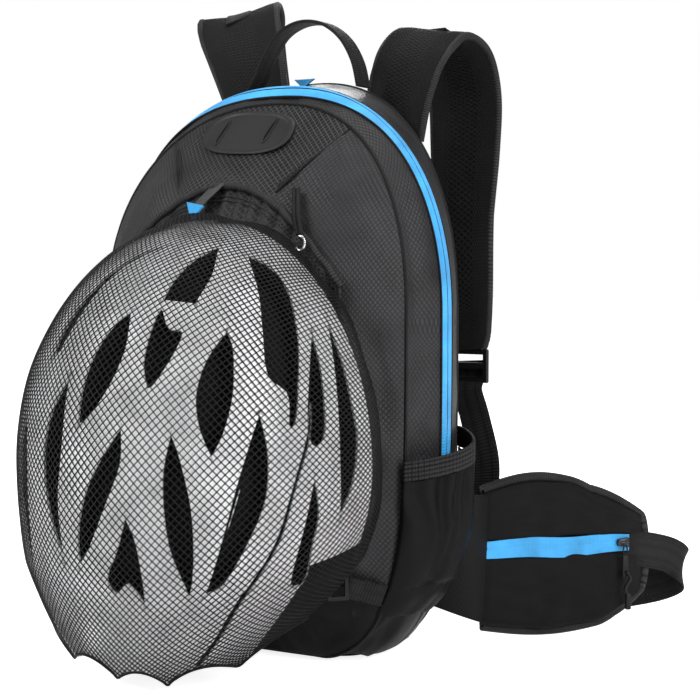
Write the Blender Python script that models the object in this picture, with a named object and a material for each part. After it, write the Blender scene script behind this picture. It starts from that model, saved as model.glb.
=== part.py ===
"""Cycling hydration pack with a helmet net, as an assembly of named pieces.

Metres, +Z up. The origin is the middle of the base panel's underside.
-Y is the pack's front, where the net is; +Y is the wearer's side, where the straps are.
"""
import math

import bmesh
import bpy
from mathutils import Matrix, Vector

# Driving dimensions of the bag
HALF_WIDTH = 0.144
WIDEST_Z = 0.250
TOP_RISE = 0.174
BASE_DROP = 0.262
TOP_SQUARENESS = 2.25
BASE_SQUARENESS = 4.0
ZIP_Y = -0.005
BACK_Y = 0.050
BACK_NARROWING = 0.150
BACK_EXTRA_RISE = 0.008
FRONT_DEPTH = 0.100
FRONT_DEPTH_TOP = 0.012
FRONT_DEPTH_BASE = 0.070
DEEPEST_Z = 0.200
DOME_SQUARENESS = 2.2
DOME_SQUARENESS_BASE = 4.5

# Common thicknesses
FABRIC = 0.0016
GAP = 0.0004
SEAM_GAP = 0.0010
WEBBING = 0.0018
PLATE = 0.0030
BASE_PANEL_SIZE = (0.184, 0.098)
AROUND = 40
CORE = Vector((0, 0, 0.200))

# Carried helmet, and the net stretched over it
HELMET_CENTRE = Vector((0.0, -0.096, 0.150))
HELMET_HALF = Vector((0.133, 0.145, 0.171))
HELMET_FLOOR = 0.0040
HELMET_SHELL = 0.0014
HELMET_LINER = 0.0120
HELMET_GAP = 0.0010
NET = 0.0012
NET_HINGE = Vector((0.0, -0.095, 0.3260))

# Hip belt wing: a flat padded panel that leaves the bag's rear lower corner
WING_ROOT = Vector((0.1375, 0.0590, 0.0))
WING_ANGLE = math.radians(47.3)
WING_LENGTH = 0.139
WING_PAD = 0.0090
WING_ZIP_Z = 0.072

SLOTS = {
    "ripstop": ((0.045, 0.045, 0.048, 1), 0.55, 0.0),
    "stretch_fabric": ((0.018, 0.018, 0.020, 1), 0.60, 0.0),
    "air_mesh": ((0.020, 0.020, 0.021, 1), 0.80, 0.0),
    "webbing": ((0.028, 0.028, 0.030, 1), 0.65, 0.0),
    "zip_blue": ((0.070, 0.420, 0.800, 1), 0.45, 0.0),
    "plastic": ((0.030, 0.030, 0.032, 1), 0.40, 0.0),
    "patch_rubber": ((0.035, 0.035, 0.037, 1), 0.50, 0.0),
    "net_mesh": ((0.030, 0.030, 0.032, 1), 0.60, 0.0),
    "helmet_white": ((0.750, 0.750, 0.760, 1), 0.25, 0.0),
    "helmet_foam": ((0.015, 0.015, 0.016, 1), 0.90, 0.0),
    "reservoir": ((0.450, 0.620, 0.750, 1), 0.30, 0.0),
    "metal": ((0.350, 0.350, 0.360, 1), 0.30, 1.0),
}


# ---------------------------------------------------------------- surfaces of the bag

def power(value, exponent):
    return math.copysign(abs(value) ** exponent, value)


def back_share(y):
    """0 at the main zip, 1 at the back edge, rising slowly at first."""
    return max(0.0, (y - ZIP_Y) / (BACK_Y - ZIP_Y)) ** 1.5


def outline(turn, y=ZIP_Y, size=1.0):
    """Point (x, z) of the bag's outline, seen from the front, at an angle round its widest height."""
    c, s = math.cos(turn), math.sin(turn)
    upper = s > 0
    exponent = 2 / (TOP_SQUARENESS if upper else BASE_SQUARENESS)
    rise = TOP_RISE + BACK_EXTRA_RISE * back_share(y) if upper else BASE_DROP
    width = HALF_WIDTH * (1 - BACK_NARROWING * back_share(y))
    return power(c, exponent) * width * size, WIDEST_Z + power(s, exponent) * rise * size


def front_depth(z):
    """How far the front stands out from the main zip, at height z."""
    if z > DEEPEST_Z:
        share = min(1.0, (z - DEEPEST_Z) / (WIDEST_Z + TOP_RISE - DEEPEST_Z))
        return FRONT_DEPTH_TOP + (FRONT_DEPTH - FRONT_DEPTH_TOP) * (1 - share ** 3.2)
    share = (DEEPEST_Z - z) / DEEPEST_Z
    return FRONT_DEPTH - (FRONT_DEPTH - FRONT_DEPTH_BASE) * share ** 2


def dome_squareness(down):
    """down is 0 at the sides and top, and 1 straight below the middle."""
    return DOME_SQUARENESS + (DOME_SQUARENESS_BASE - DOME_SQUARENESS) * max(0.0, down) ** 2


def front_y(x, z):
    """Y of the bag's front surface at (x, z)."""
    squareness = TOP_SQUARENESS if z > WIDEST_Z else BASE_SQUARENESS
    rise = TOP_RISE if z > WIDEST_Z else BASE_DROP
    across, up = abs(x) / HALF_WIDTH, abs(z - WIDEST_Z) / rise
    radius = min(1.0, (across ** squareness + up ** squareness) ** (1 / squareness))
    down = 0.0 if z > WIDEST_Z else up / max(1e-6, math.hypot(across, up))
    n = dome_squareness(down)
    return ZIP_Y - front_depth(z) * (1 - radius ** n) ** (1 / n)


def side_x(y, z):
    """Half-width of the bag at (y, z), on the side panel or the rear gusset."""
    squareness = TOP_SQUARENESS if z > WIDEST_Z else BASE_SQUARENESS
    rise = TOP_RISE if z > WIDEST_Z else BASE_DROP
    up = abs(z - WIDEST_Z) / rise
    if y >= ZIP_Y:
        return HALF_WIDTH * (1 - BACK_NARROWING * back_share(y)) * (1 - up ** squareness) ** (1 / squareness)
    low, high = 0.0, HALF_WIDTH
    for _ in range(30):
        middle = (low + high) / 2
        low, high = (middle, high) if front_y(middle, z) < y else (low, middle)
    return low


# ---------------------------------------------------------------- building helpers

def material(slot):
    made = bpy.data.materials.get(slot)
    if made is None:
        colour, roughness, metallic = SLOTS[slot]
        made = bpy.data.materials.new(slot)
        made.use_nodes = True
        shader = made.node_tree.nodes["Principled BSDF"]
        shader.inputs["Base Color"].default_value = colour
        shader.inputs["Roughness"].default_value = roughness
        shader.inputs["Metallic"].default_value = metallic
    return made


def finish(name, bm, slot, origin=(0, 0, 0), wall=0.0, outward=False, smooth=True):
    """Makes the object. Its origin is put at origin, which is its joint's axis if it moves."""
    bmesh.ops.remove_doubles(bm, verts=bm.verts[:], dist=1e-6)
    bmesh.ops.recalc_face_normals(bm, faces=bm.faces[:])
    if wall:
        away = sum(f.normal.dot(f.calc_center_median() - CORE) for f in bm.faces)
        if away < 0:
            bmesh.ops.reverse_faces(bm, faces=bm.faces[:])
    bmesh.ops.translate(bm, verts=bm.verts[:], vec=-Vector(origin))
    mesh = bpy.data.meshes.new(name)
    bm.to_mesh(mesh)
    bm.free()
    if smooth:
        mesh.shade_smooth()
        mesh.set_sharp_from_angle(angle=math.radians(40))
    mesh.materials.append(material(slot))
    obj = bpy.data.objects.new(name, mesh)
    bpy.context.scene.collection.objects.link(obj)
    obj.location = origin
    if wall:
        solidify = obj.modifiers.new("wall", "SOLIDIFY")
        solidify.thickness = wall
        solidify.offset = 1.0 if outward else -1.0
        solidify.use_even_offset = True
    return obj


def add_ring(bm, points):
    verts = [bm.verts.new(p) for p in points]
    return [bm.edges.new((a, b)) for a, b in zip(verts, verts[1:] + verts[:1])]


def loft(rings, cap_first=True, cap_last=True):
    """A bmesh of rings with equal numbers of points, each bridged to the next."""
    bm = bmesh.new()
    edges = [add_ring(bm, ring) for ring in rings]
    for a, b in zip(edges, edges[1:]):
        bmesh.ops.bridge_loops(bm, edges=a + b)
    if cap_first:
        bmesh.ops.contextual_create(bm, geom=edges[0])
    if cap_last:
        bmesh.ops.contextual_create(bm, geom=edges[-1])
    return bm


def sheet(rows):
    """A bmesh of open rows with equal numbers of points, joined into one sheet."""
    bm = bmesh.new()
    verts = [[bm.verts.new(p) for p in row] for row in rows]
    edges = [[bm.edges.new(pair) for pair in zip(row, row[1:])] for row in verts]
    for a, b in zip(edges, edges[1:]):
        bmesh.ops.bridge_loops(bm, edges=a + b)
    return bm


def prism(outline_points, depth, axis=Vector((0, 1, 0))):
    """A closed flat outline extruded by depth along axis."""
    bm = bmesh.new()
    face = bm.faces.new([bm.verts.new(p) for p in outline_points])
    out = bmesh.ops.extrude_face_region(bm, geom=[face])
    moved = [g for g in out["geom"] if isinstance(g, bmesh.types.BMVert)]
    bmesh.ops.translate(bm, verts=moved, vec=axis * depth)
    return bm


def block(size, centre, turn=Matrix.Identity(3), bevel=0.0):
    bm = bmesh.new()
    bmesh.ops.create_cube(bm, size=1.0)
    bmesh.ops.scale(bm, vec=size, verts=bm.verts[:])
    if bevel:
        bmesh.ops.bevel(bm, geom=bm.edges[:], offset=bevel, segments=1, profile=0.5,
                        affect="EDGES", material=-1)
    bmesh.ops.rotate(bm, matrix=turn, verts=bm.verts[:], cent=(0, 0, 0))
    bmesh.ops.translate(bm, vec=centre, verts=bm.verts[:])
    return bm


def rounded(width, height, radius, corner=3):
    """Points (u, v) of a rectangle with round corners."""
    points = []
    for k in range(4):
        cu = (width / 2 - radius) * (1 if k in (0, 3) else -1)
        cv = (height / 2 - radius) * (1 if k in (0, 1) else -1)
        for j in range(corner + 1):
            a = math.pi / 2 * (k + j / corner)
            points.append((cu + radius * math.cos(a), cv + radius * math.sin(a)))
    return points


def smooth_path(points, steps):
    """steps points read evenly from a Catmull-Rom curve through points, which may hold more than 3 values."""
    spans = len(points) - 1
    read = []
    for i in range(steps):
        place = spans * i / (steps - 1)
        k = min(int(place), spans - 1)
        t = place - k
        near = [points[max(0, min(spans, k + j))] for j in (-1, 0, 1, 2)]
        read.append([
            0.5 * (2 * b + (c - a) * t + (2 * a - 5 * b + 4 * c - d) * t * t
                   + (3 * b - a - 3 * c + d) * t ** 3)
            for a, b, c, d in zip(*near)
        ])
    return read


def ribbon(path, thickness, steps=14, edge=0.35):
    """A strap along path, whose points are x, y, z, width, and the width's direction x, y, z."""
    read = smooth_path(path, steps)
    centres = [Vector(p[:3]) for p in read]
    rings = []
    for i, p in enumerate(read):
        along = (centres[min(i + 1, steps - 1)] - centres[max(i - 1, 0)]).normalized()
        across = Vector(p[4:7])
        across = (across - along * across.dot(along)).normalized()
        out = along.cross(across)
        half, deep = p[3] / 2, thickness / 2
        inner = half - min(half * 0.5, thickness * edge)
        corners = ((half, 0.3), (inner, 1), (-inner, 1), (-half, 0.3),
                   (-half, -0.3), (-inner, -1), (inner, -1), (half, -0.3))
        rings.append([centres[i] + across * u + out * deep * v for u, v in corners])
    return loft(rings)


def mirrored(points, side):
    """The path for side +1 (right) or -1 (left)."""
    return [(side * p[0], *p[1:4], side * p[4], *p[5:]) for p in points]


# ---------------------------------------------------------------- bag shell

def bag_ring(y_or_dome, is_dome):
    """One closed ring of the bag's surface: at a constant y, or at a dome angle in radians."""
    points = []
    for i in range(AROUND):
        turn = 2 * math.pi * i / AROUND
        if is_dome:
            n = dome_squareness(-math.sin(turn))
            x, z = outline(turn, ZIP_Y, math.cos(y_or_dome) ** (2 / n))
            y = ZIP_Y - SEAM_GAP - front_depth(max(z, 0)) * math.sin(y_or_dome) ** (2 / n)
        else:
            x, z = outline(turn, y_or_dome)
            y = y_or_dome
        points.append((x, y, max(z, PLATE + GAP)))
    return points


def build_shell():
    angles = [math.radians(a) for a in (0, 6, 16, 28, 42, 56, 70, 82)]
    front = loft([bag_ring(a, True) for a in angles], cap_first=False)
    finish("front_shell", front, "ripstop", wall=FABRIC)
    stations = (ZIP_Y + SEAM_GAP, (ZIP_Y + BACK_Y) / 2, BACK_Y)
    gusset = loft([bag_ring(y, False) for y in stations], cap_first=False, cap_last=False)
    finish("rear_gusset", gusset, "ripstop", wall=FABRIC)


def build_main_zip():
    """The tape lies on the seam between front shell and gusset, over the top from side to side."""
    rows = []
    for y in (ZIP_Y + 0.0065, ZIP_Y - 0.0065):
        row = []
        for i in range(-1, AROUND // 2 + 2):
            x, z = outline(2 * math.pi * i / AROUND, max(y, ZIP_Y))
            away = Vector((x, 0, z - WIDEST_Z)).normalized() * GAP * 1.5
            row.append((x + away.x, y, z + away.z))
        rows.append(row)
    finish("main_zip_tape", sheet(rows), "zip_blue", wall=0.0010, outward=True)


def build_back():
    points = [Vector((x, BACK_Y + GAP, max(z, PLATE + GAP)))
              for x, z in (outline(2 * math.pi * i / AROUND, BACK_Y, 0.995) for i in range(AROUND))]
    finish("back_panel", prism(points, PLATE), "stretch_fabric")

    sheet_points = [Vector((x, 0.0435, z))
                    for x, z in (outline(2 * math.pi * i / 24, BACK_Y, 0.86) for i in range(24))]
    finish("frame_sheet", prism(sheet_points, 0.0015), "plastic")

    pad_front = BACK_Y + PLATE + 2 * GAP
    for side, word in ((1, "right"), (-1, "left")):
        build_pad("back_pad_" + word, side * 0.052, 0.242, 0.066, 0.250, 0.010, pad_front)
    build_pad("lumbar_pad", 0.0, 0.060, 0.168, 0.084, 0.012, pad_front)


def build_pad(name, x, z, width, height, depth, y):
    rings = []
    for out, shrink in ((0.0, 0.0), (0.6, 0.0), (1.0, 0.006)):
        corners = rounded(width - 2 * shrink, height - 2 * shrink, 0.018)
        rings.append([(x + u, y + depth * out, z + v) for u, v in corners])
    finish(name, loft(rings), "air_mesh")


def build_base():
    corners = rounded(BASE_PANEL_SIZE[0], BASE_PANEL_SIZE[1], 0.022)
    points = [Vector((u, v, 0)) for u, v in corners]
    finish("base_panel", prism(points, PLATE, Vector((0, 0, 1))), "stretch_fabric")


# ---------------------------------------------------------------- front

def draped(points, lift):
    """Points (x, z) laid on the bag's front, lifted off it by lift."""
    return [(x, front_y(x, z) - lift, z) for x, z in points]


def mouth_z(x):
    """Height of the front pocket's arched mouth."""
    return 0.345 - 7.2 * x * x


def build_front_pocket():
    rows = []
    for i in range(9):
        share = i / 8
        half = 0.074 + 0.026 * math.sin(math.pi / 2 * min(1.0, share * 1.6))
        row = []
        for x in (half * (j / 7 - 1) for j in range(15)):
            z = 0.045 + (mouth_z(x) - 0.045) * share
            belly = 0.0034 + 0.0060 * math.sin(math.pi * share ** 0.7) * math.cos(x / half * math.pi / 2)
            row.append((x, front_y(x, z) - belly, z))
        rows.append(row)
    finish("front_pocket", sheet(rows), "ripstop", wall=FABRIC, outward=True)


PATCH_Z = 0.3865


def build_light_patch():
    """An oval rubber patch with two slots, for a clip-on light."""
    rings = []
    for size in (1.0, 0.8, 0.6, 0.4, 0.2):
        turns = (2 * math.pi * i / 28 for i in range(28))
        oval = [(0.0355 * size * power(math.cos(a), 0.8), PATCH_Z + 0.0155 * size * power(math.sin(a), 0.8))
                for a in turns]
        rings.append(draped(oval, 0.0018))
    patch = finish("light_patch", loft(rings, cap_first=False), "patch_rubber", wall=0.0018, outward=True)
    for k, x in enumerate((-0.020, 0.020)):
        bm = block((0.0022, 0.030, 0.014), (x, front_y(x, PATCH_Z), PATCH_Z))
        cutter = finish(f"slot_cutter_{k}", bm, "patch_rubber")
        cutter.hide_render = True
        cutter.display_type = "WIRE"
        cut = patch.modifiers.new(f"slot_{k}", "BOOLEAN")
        cut.operation = "DIFFERENCE"
        cut.object = cutter


def build_pull_tab():
    """A tapered tab that hangs over the front pocket's mouth."""
    stations = ((0.362, 0.0060, 0.015), (0.354, 0.0075, 0.014),
                (0.346, 0.0095, 0.010), (0.338, 0.0110, 0.004))
    tab = [(-0.002, front_y(0, z) - lift, z, width, 1, 0, 0) for z, lift, width in stations]
    finish("net_pull_tab", ribbon(tab, 0.0014, 5), "zip_blue")


# ---------------------------------------------------------------- side pockets

POCKET_FRONT_Y = -0.038
POCKET_BACK_Y = 0.042
POCKET_BASE_Z = 0.042
POCKET_BELLY = 0.019
POCKET_HEM_Z = 0.150
POCKET_HEM_RISE = 0.017
POCKET_HEM_SHARE = 0.885


def pocket_hem_z(y):
    return POCKET_HEM_Z + POCKET_HEM_RISE * (POCKET_FRONT_Y - y) / (POCKET_FRONT_Y - POCKET_BACK_Y)


def pocket_x(y, up):
    """X of the stretch pocket's inner face at (y, share of its height)."""
    share = (y - POCKET_FRONT_Y) / (POCKET_BACK_Y - POCKET_FRONT_Y)
    z = POCKET_BASE_Z + (pocket_hem_z(y) - POCKET_BASE_Z) * up
    fullness = math.sin(math.pi * share) ** 0.7 if 0 < share < 1 else 0.0
    return side_x(y, z) + 0.0016 + POCKET_BELLY * fullness * min(1.0, 1.7 * up ** 0.6) * (1 - 0.18 * up)


def pocket_row(side, up):
    """A row of points across the stretch pocket, front to back, at a share of its height."""
    row = []
    for j in range(13):
        y = POCKET_FRONT_Y + (POCKET_BACK_Y - POCKET_FRONT_Y) * j / 12
        row.append((side * pocket_x(y, up), y, POCKET_BASE_Z + (pocket_hem_z(y) - POCKET_BASE_Z) * up))
    return row


def build_side_pockets():
    for side, word in ((1, "right"), (-1, "left")):
        rows = [pocket_row(side, (POCKET_HEM_SHARE - 0.004) * i / 7) for i in range(8)]
        finish("side_pocket_" + word, sheet(rows), "stretch_fabric", wall=0.0012, outward=True)
        hem_rows = [pocket_row(side, up) for up in (POCKET_HEM_SHARE, 1.0)]
        finish("pocket_hem_" + word, sheet(hem_rows), "webbing", wall=0.0024, outward=True)


# ---------------------------------------------------------------- straps and handle

RIGHT_STRAP = [
    (0.062, 0.0605, 0.388, 0.050, 1, 0.0, 0.0),
    (0.067, 0.0610, 0.420, 0.054, 1, 0.0, -0.1),
    (0.073, 0.0720, 0.453, 0.058, 1, 0.0, -0.15),
    (0.080, 0.0940, 0.470, 0.060, 1, 0.0, -0.15),
    (0.087, 0.1180, 0.458, 0.061, 1, 0.0, -0.1),
    (0.0895, 0.1310, 0.425, 0.061, 1, 0.0, 0.0),
    (0.090, 0.1350, 0.380, 0.060, 1, 0.0, 0.0),
    (0.092, 0.1320, 0.325, 0.057, 1, 0.0, 0.0),
    (0.097, 0.1240, 0.262, 0.051, 1, 0.0, 0.0),
    (0.1005, 0.1185, 0.228, 0.040, 1, 0.0, 0.0),
]
LEFT_STRAP = [
    (-0.056, 0.0605, 0.388, 0.050, 1, 0.0, 0.0),
    (-0.064, 0.0610, 0.420, 0.056, 1, 0.0, 0.1),
    (-0.082, 0.0730, 0.460, 0.066, 1, 0.0, 0.15),
    (-0.102, 0.0920, 0.490, 0.072, 1, 0.0, 0.15),
    (-0.114, 0.1120, 0.497, 0.072, 1, 0.0, 0.15),
    (-0.118, 0.1310, 0.470, 0.068, 1, 0.0, 0.1),
    (-0.112, 0.1380, 0.420, 0.062, 1, 0.0, 0.0),
    (-0.102, 0.1350, 0.350, 0.058, 1, 0.0, 0.0),
    (-0.099, 0.1260, 0.272, 0.051, 1, 0.0, 0.0),
    (-0.1005, 0.1185, 0.228, 0.040, 1, 0.0, 0.0),
]
LOWER_WEBBING = [
    (0.1030, 0.1115, 0.1870, 0.025, 1, 0.0, 0.0),
    (0.1120, 0.1070, 0.1650, 0.025, 1, 0.1, 0.2),
    (0.1250, 0.0970, 0.1300, 0.025, 1, 0.1, 0.2),
    (0.1270, 0.0840, 0.1000, 0.025, 1, 0.0, 0.1),
    (0.1190, 0.0690, 0.0720, 0.025, 1, 0.0, 0.0),
    (0.1120, 0.0590, 0.0480, 0.025, 1, 0.0, 0.0),
]
LOCK_HINGE = Vector((0.1010, 0.1172, 0.2185))
LOCK_SIZE = (0.034, 0.0040, 0.0270)


def build_straps():
    finish("shoulder_strap_right", ribbon(RIGHT_STRAP, 0.0105, 22), "air_mesh")
    finish("shoulder_strap_left", ribbon(LEFT_STRAP, 0.0105, 22), "air_mesh")
    for side, word in ((1, "right"), (-1, "left")):
        finish("strap_webbing_" + word, ribbon(mirrored(LOWER_WEBBING, side), WEBBING, 14), "webbing")
        build_ladder_lock(side, word)


def build_ladder_lock(side, word):
    """Flat buckle with two windows that the lower webbing threads; it tilts about its top bar."""
    hinge = Vector((side * LOCK_HINGE.x, LOCK_HINGE.y, LOCK_HINGE.z))
    centre = hinge - Vector((0, 0, LOCK_SIZE[2] / 2 - 0.003))
    lock = finish("ladder_lock_" + word, block(LOCK_SIZE, centre, bevel=0.0008), "plastic", hinge)
    for k, drop in enumerate((0.0060, -0.0055)):
        window = block((0.0262, 0.012, 0.0065), centre + Vector((0, 0, drop)))
        cutter = finish(f"lock_window_{word}_{k}", window, "plastic", hinge)
        cutter.hide_render = True
        cutter.display_type = "WIRE"
        cut = lock.modifiers.new(f"window_{k}", "BOOLEAN")
        cut.operation = "DIFFERENCE"
        cut.object = cutter


HANDLE_Y = 0.036
HANDLE_ARCH = (  # x, and z above its feet
    (-0.0530, 0.0052), (-0.0450, 0.0170), (-0.0360, 0.0340), (-0.0230, 0.0500), (-0.0040, 0.0575),
    (0.0160, 0.0550), (0.0330, 0.0430), (0.0440, 0.0250), (0.0490, 0.0052),
)


def build_handle():
    foot = outline(math.acos(0.32), HANDLE_Y)[1]
    hinge = Vector((0, HANDLE_Y, foot))
    path = [(x, HANDLE_Y, foot + z, 0.020, 0.0, 1, 0.0) for x, z in HANDLE_ARCH]
    finish("grab_handle", ribbon(path, 0.0030, 22), "webbing", hinge)


def build_hose_port():
    """A triangular pull tab at the slit where a drinking hose leaves the bag."""
    low = outline(math.pi / 2, 0.049)[1] + 0.0008
    triangle = ((-0.007, 0.010), (0, 0), (0.007, 0.010))
    corners = [Vector((-0.0140 + across, 0.0488, low + up)) for across, up in triangle]
    finish("hose_port_tab", prism(corners, 0.0014), "zip_blue", smooth=False)


# ---------------------------------------------------------------- sternum strap

STERNUM_Z = 0.345
STERNUM_SAG = 0.004


def build_sternum():
    """Chest strap between the shoulder straps, clipped in the middle; it slides up and down as one."""
    ends = ((0.0600, 0.1432), (-0.0700, 0.1432))
    buckle_half = 0.0225
    for (x, y), word in zip(ends, ("right", "left")):
        sign = 1 if word == "right" else -1
        clip = block((0.011, 0.0045, 0.026), (x + sign * 0.0010, y + 0.0010, STERNUM_Z), bevel=0.0010)
        finish("sternum_clip_" + word, clip, "plastic", (x, y, STERNUM_Z))
        start = x - sign * 0.0064
        stop = sign * (buckle_half + GAP)
        path = []
        for k in range(5):
            sag = math.sin(math.pi / 2 * k / 4)
            x_here = start + (stop - start) * k / 4
            path.append((x_here, y + 0.0090 * sag, STERNUM_Z - STERNUM_SAG * sag, 0.020, 0, 0, 1))
        finish("sternum_webbing_" + word, ribbon(path, WEBBING, 8), "webbing")
    centre = Vector((0, 0.1522, STERNUM_Z - STERNUM_SAG))
    female = block((0.026, 0.0085, 0.027), centre + Vector((0.0095, 0, 0)), bevel=0.0015)
    finish("sternum_buckle_socket", female, "plastic", centre)
    male = block((0.0185, 0.0060, 0.025), centre + Vector((-0.0132, 0, 0)), bevel=0.0012)
    finish("sternum_buckle_plug", male, "plastic", centre)


# ---------------------------------------------------------------- hip belt

def wing_place(side, along, up, out):
    """A point on the wing: along it from its root, up from the ground, and out from its middle plane."""
    c, s = math.cos(WING_ANGLE), math.sin(WING_ANGLE)
    x = WING_ROOT.x + along * c + out * s
    y = WING_ROOT.y + along * s - out * c
    return Vector((side * x, y, up))


def wing_span(share):
    """(lowest, highest) Z of the wing's outline at a share of its length."""
    top_drop = max(0.0, (share - 0.55) / 0.45) ** 1.8
    base_rise = max(0.0, (share - 0.72) / 0.28) ** 1.8
    top = 0.1170 + 0.009 * math.sin(math.pi * min(1, share * 1.5)) - 0.024 * top_drop
    base = 0.0110 - 0.0065 * math.sin(math.pi * min(1, share * 1.2)) + 0.020 * base_rise
    return base, top


WEBBING_TAIL = [
    (0.2358, 0.1656, 0.0650, 0.0280, 0, 0, 1),
    (0.2480, 0.1800, 0.0580, 0.0280, 0.1, 0.1, 1),
    (0.2540, 0.1930, 0.0480, 0.0280, 0.1, 0, 1),
    (0.2460, 0.2020, 0.0370, 0.0280, 0.1, 0, 1),
    (0.2250, 0.2030, 0.0270, 0.0280, 0, 0, 1),
    (0.1900, 0.1960, 0.0190, 0.0280, 0, 0, 1),
    (0.1500, 0.1880, 0.0155, 0.0280, 0, 0, 1),
    (0.1100, 0.1830, 0.0148, 0.0280, 0, 0, 1),
    (0.0760, 0.1810, 0.0148, 0.0280, 0, 0, 1),
]


def build_wings():
    for side, word in ((1, "right"), (-1, "left")):
        root = wing_place(side, 0, 0, 0)
        build_wing_pad(side, word, root)
        build_wing_pocket(side, word, root)
        finish("belt_webbing_" + word, ribbon(mirrored(WEBBING_TAIL, side), WEBBING, 26), "webbing", root)
    right_root, left_root = wing_place(1, 0, 0, 0), wing_place(-1, 0, 0, 0)
    socket = block((0.036, 0.0110, 0.0330), (0.0575, 0.181, 0.0175), bevel=0.0020)
    finish("belt_buckle_socket", socket, "plastic", right_root)
    plug = block((0.020, 0.0085, 0.0310), (-0.0655, 0.181, 0.0160), bevel=0.0015)
    fork = ((-0.0560, 0.0040), (-0.0280, 0.0040), (-0.0280, 0.0080), (-0.0510, 0.0120),
            (-0.0510, 0.0200), (-0.0280, 0.0240), (-0.0280, 0.0280), (-0.0560, 0.0280))
    prongs = prism([Vector((x, 0.1785, z)) for x, z in fork], 0.0050)
    plug_body = finish("belt_buckle_plug", plug, "plastic", left_root)
    prong_body = finish("plug_prongs", prongs, "plastic", left_root, smooth=False)
    prong_body.hide_render = True
    prong_body.display_type = "WIRE"
    joined = plug_body.modifiers.new("prongs", "BOOLEAN")
    joined.operation = "UNION"
    joined.object = prong_body


def build_wing_pad(side, word, root):
    rings = []
    for i in range(11):
        share = i / 10
        low, high = wing_span(share)
        along = 0.002 + (WING_LENGTH - 0.002) * share
        deep = WING_PAD / 2 * (1.0 if share < 0.85 else 0.8)
        inset = 0.007
        section = ((low, 0.25), (low + inset, 1), (high - inset, 1), (high, 0.25),
                   (high, -0.25), (high - inset, -1), (low + inset, -1), (low, -0.25))
        rings.append([wing_place(side, along, z, deep * o) for z, o in section])
    finish("belt_wing_" + word, loft(rings), "air_mesh", root)


def build_wing_pocket(side, word, root):
    """Stretch pocket on the wing's outer face, its blue zip, and the slider with its puller."""
    face = WING_PAD / 2 + GAP
    depth = 0.0036
    ends = (0.008, 0.124)
    for name, low_z, high_z in (("lower", None, WING_ZIP_Z - 0.0062), ("upper", WING_ZIP_Z + 0.0062, None)):
        rings = []
        for i in range(9):
            along = ends[0] + (ends[1] - ends[0]) * i / 8
            low, high = wing_span(along / WING_LENGTH)
            low = low + 0.009 if low_z is None else low_z
            high = high - 0.010 if high_z is None else high_z
            section = ((low, 0), (low, 0.5), (low + 0.006, 1), (high - 0.006, 1), (high, 0.5), (high, 0))
            rings.append([wing_place(side, along, z, face + depth * o) for z, o in section])
        finish(f"belt_pocket_{name}_{word}", loft(rings), "stretch_fabric", root)
    tape = [wing_place(side, a, z, face + 0.0012) for a, z in (
        (ends[0], WING_ZIP_Z - 0.0058), (ends[1], WING_ZIP_Z - 0.0058),
        (ends[1], WING_ZIP_Z + 0.0058), (ends[0], WING_ZIP_Z + 0.0058))]
    out = wing_place(side, 0, 0, 1) - root
    finish("belt_zip_tape_" + word, prism(tape, 0.0012, out), "zip_blue", root, smooth=False)
    turn = Matrix.Rotation(WING_ANGLE if side > 0 else math.pi - WING_ANGLE, 3, "Z")
    slider_at = wing_place(side, ends[1] - 0.006, WING_ZIP_Z, face + 0.0012 + 0.0012 + GAP + 0.0018)
    slider = block((0.0100, 0.0036, 0.0080), slider_at, turn, 0.0008)
    finish("belt_zip_slider_" + word, slider, "metal", slider_at)
    pull_at = slider_at + out * 0.0040 - Vector((0, 0, 0.0010))
    puller = block((0.0052, 0.0020, 0.0260), pull_at - Vector((0, 0, 0.0130)), turn, 0.0006)
    finish("belt_zip_puller_" + word, puller, "metal", pull_at)


# ---------------------------------------------------------------- main zip sliders

def build_main_sliders():
    """Two sliders that meet on the left side of the main zip, the upper one's puller over the lower's."""
    x = -(HALF_WIDTH + 1.5 * GAP + 0.0010 + 0.0004)
    for word, z, reach in (("upper", 0.2400, 0.0060), ("lower", 0.2280, 0.0035)):
        at = Vector((x - 0.0018, ZIP_Y, z))
        finish("main_zip_slider_" + word, block((0.0036, 0.0085, 0.0110), at, bevel=0.0008), "metal", at)
        pull_at = at + Vector((-reach, 0, -0.0010))
        puller = block((0.0018, 0.0055, 0.0200), pull_at - Vector((0, 0, 0.0100)), bevel=0.0006)
        finish("main_zip_puller_" + word, puller, "metal", pull_at)


# ---------------------------------------------------------------- reservoir inside the bag

def build_reservoir():
    rings = []
    for y, size in ((0.0380, 0.90), (0.0330, 1.0), (0.0150, 1.0), (0.0090, 0.88)):
        corners = rounded(0.170 * size, 0.300 * size + 0.02 * (size - 1), 0.030 * size)
        rings.append([(u, y, 0.180 + v) for u, v in corners])
    finish("reservoir_bladder", loft(rings), "reservoir")
    build_drum("reservoir_cap", Vector((0, 0.0090 - GAP, 0.268)), 0.0300, 0.014, "plastic")
    build_drum("reservoir_outlet", Vector((0, 0.0090 - GAP, 0.070)), 0.0110, 0.012, "plastic")


def build_drum(name, at, radius, depth, slot):
    bm = bmesh.new()
    bmesh.ops.create_cone(bm, cap_ends=True, segments=20, radius1=radius, radius2=radius * 0.94, depth=depth)
    bmesh.ops.rotate(bm, matrix=Matrix.Rotation(math.pi / 2, 3, "X"), verts=bm.verts[:], cent=(0, 0, 0))
    bmesh.ops.translate(bm, vec=at - Vector((0, depth / 2, 0)), verts=bm.verts[:])
    finish(name, bm, slot, at)


# ---------------------------------------------------------------- helmet net and its load

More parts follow.
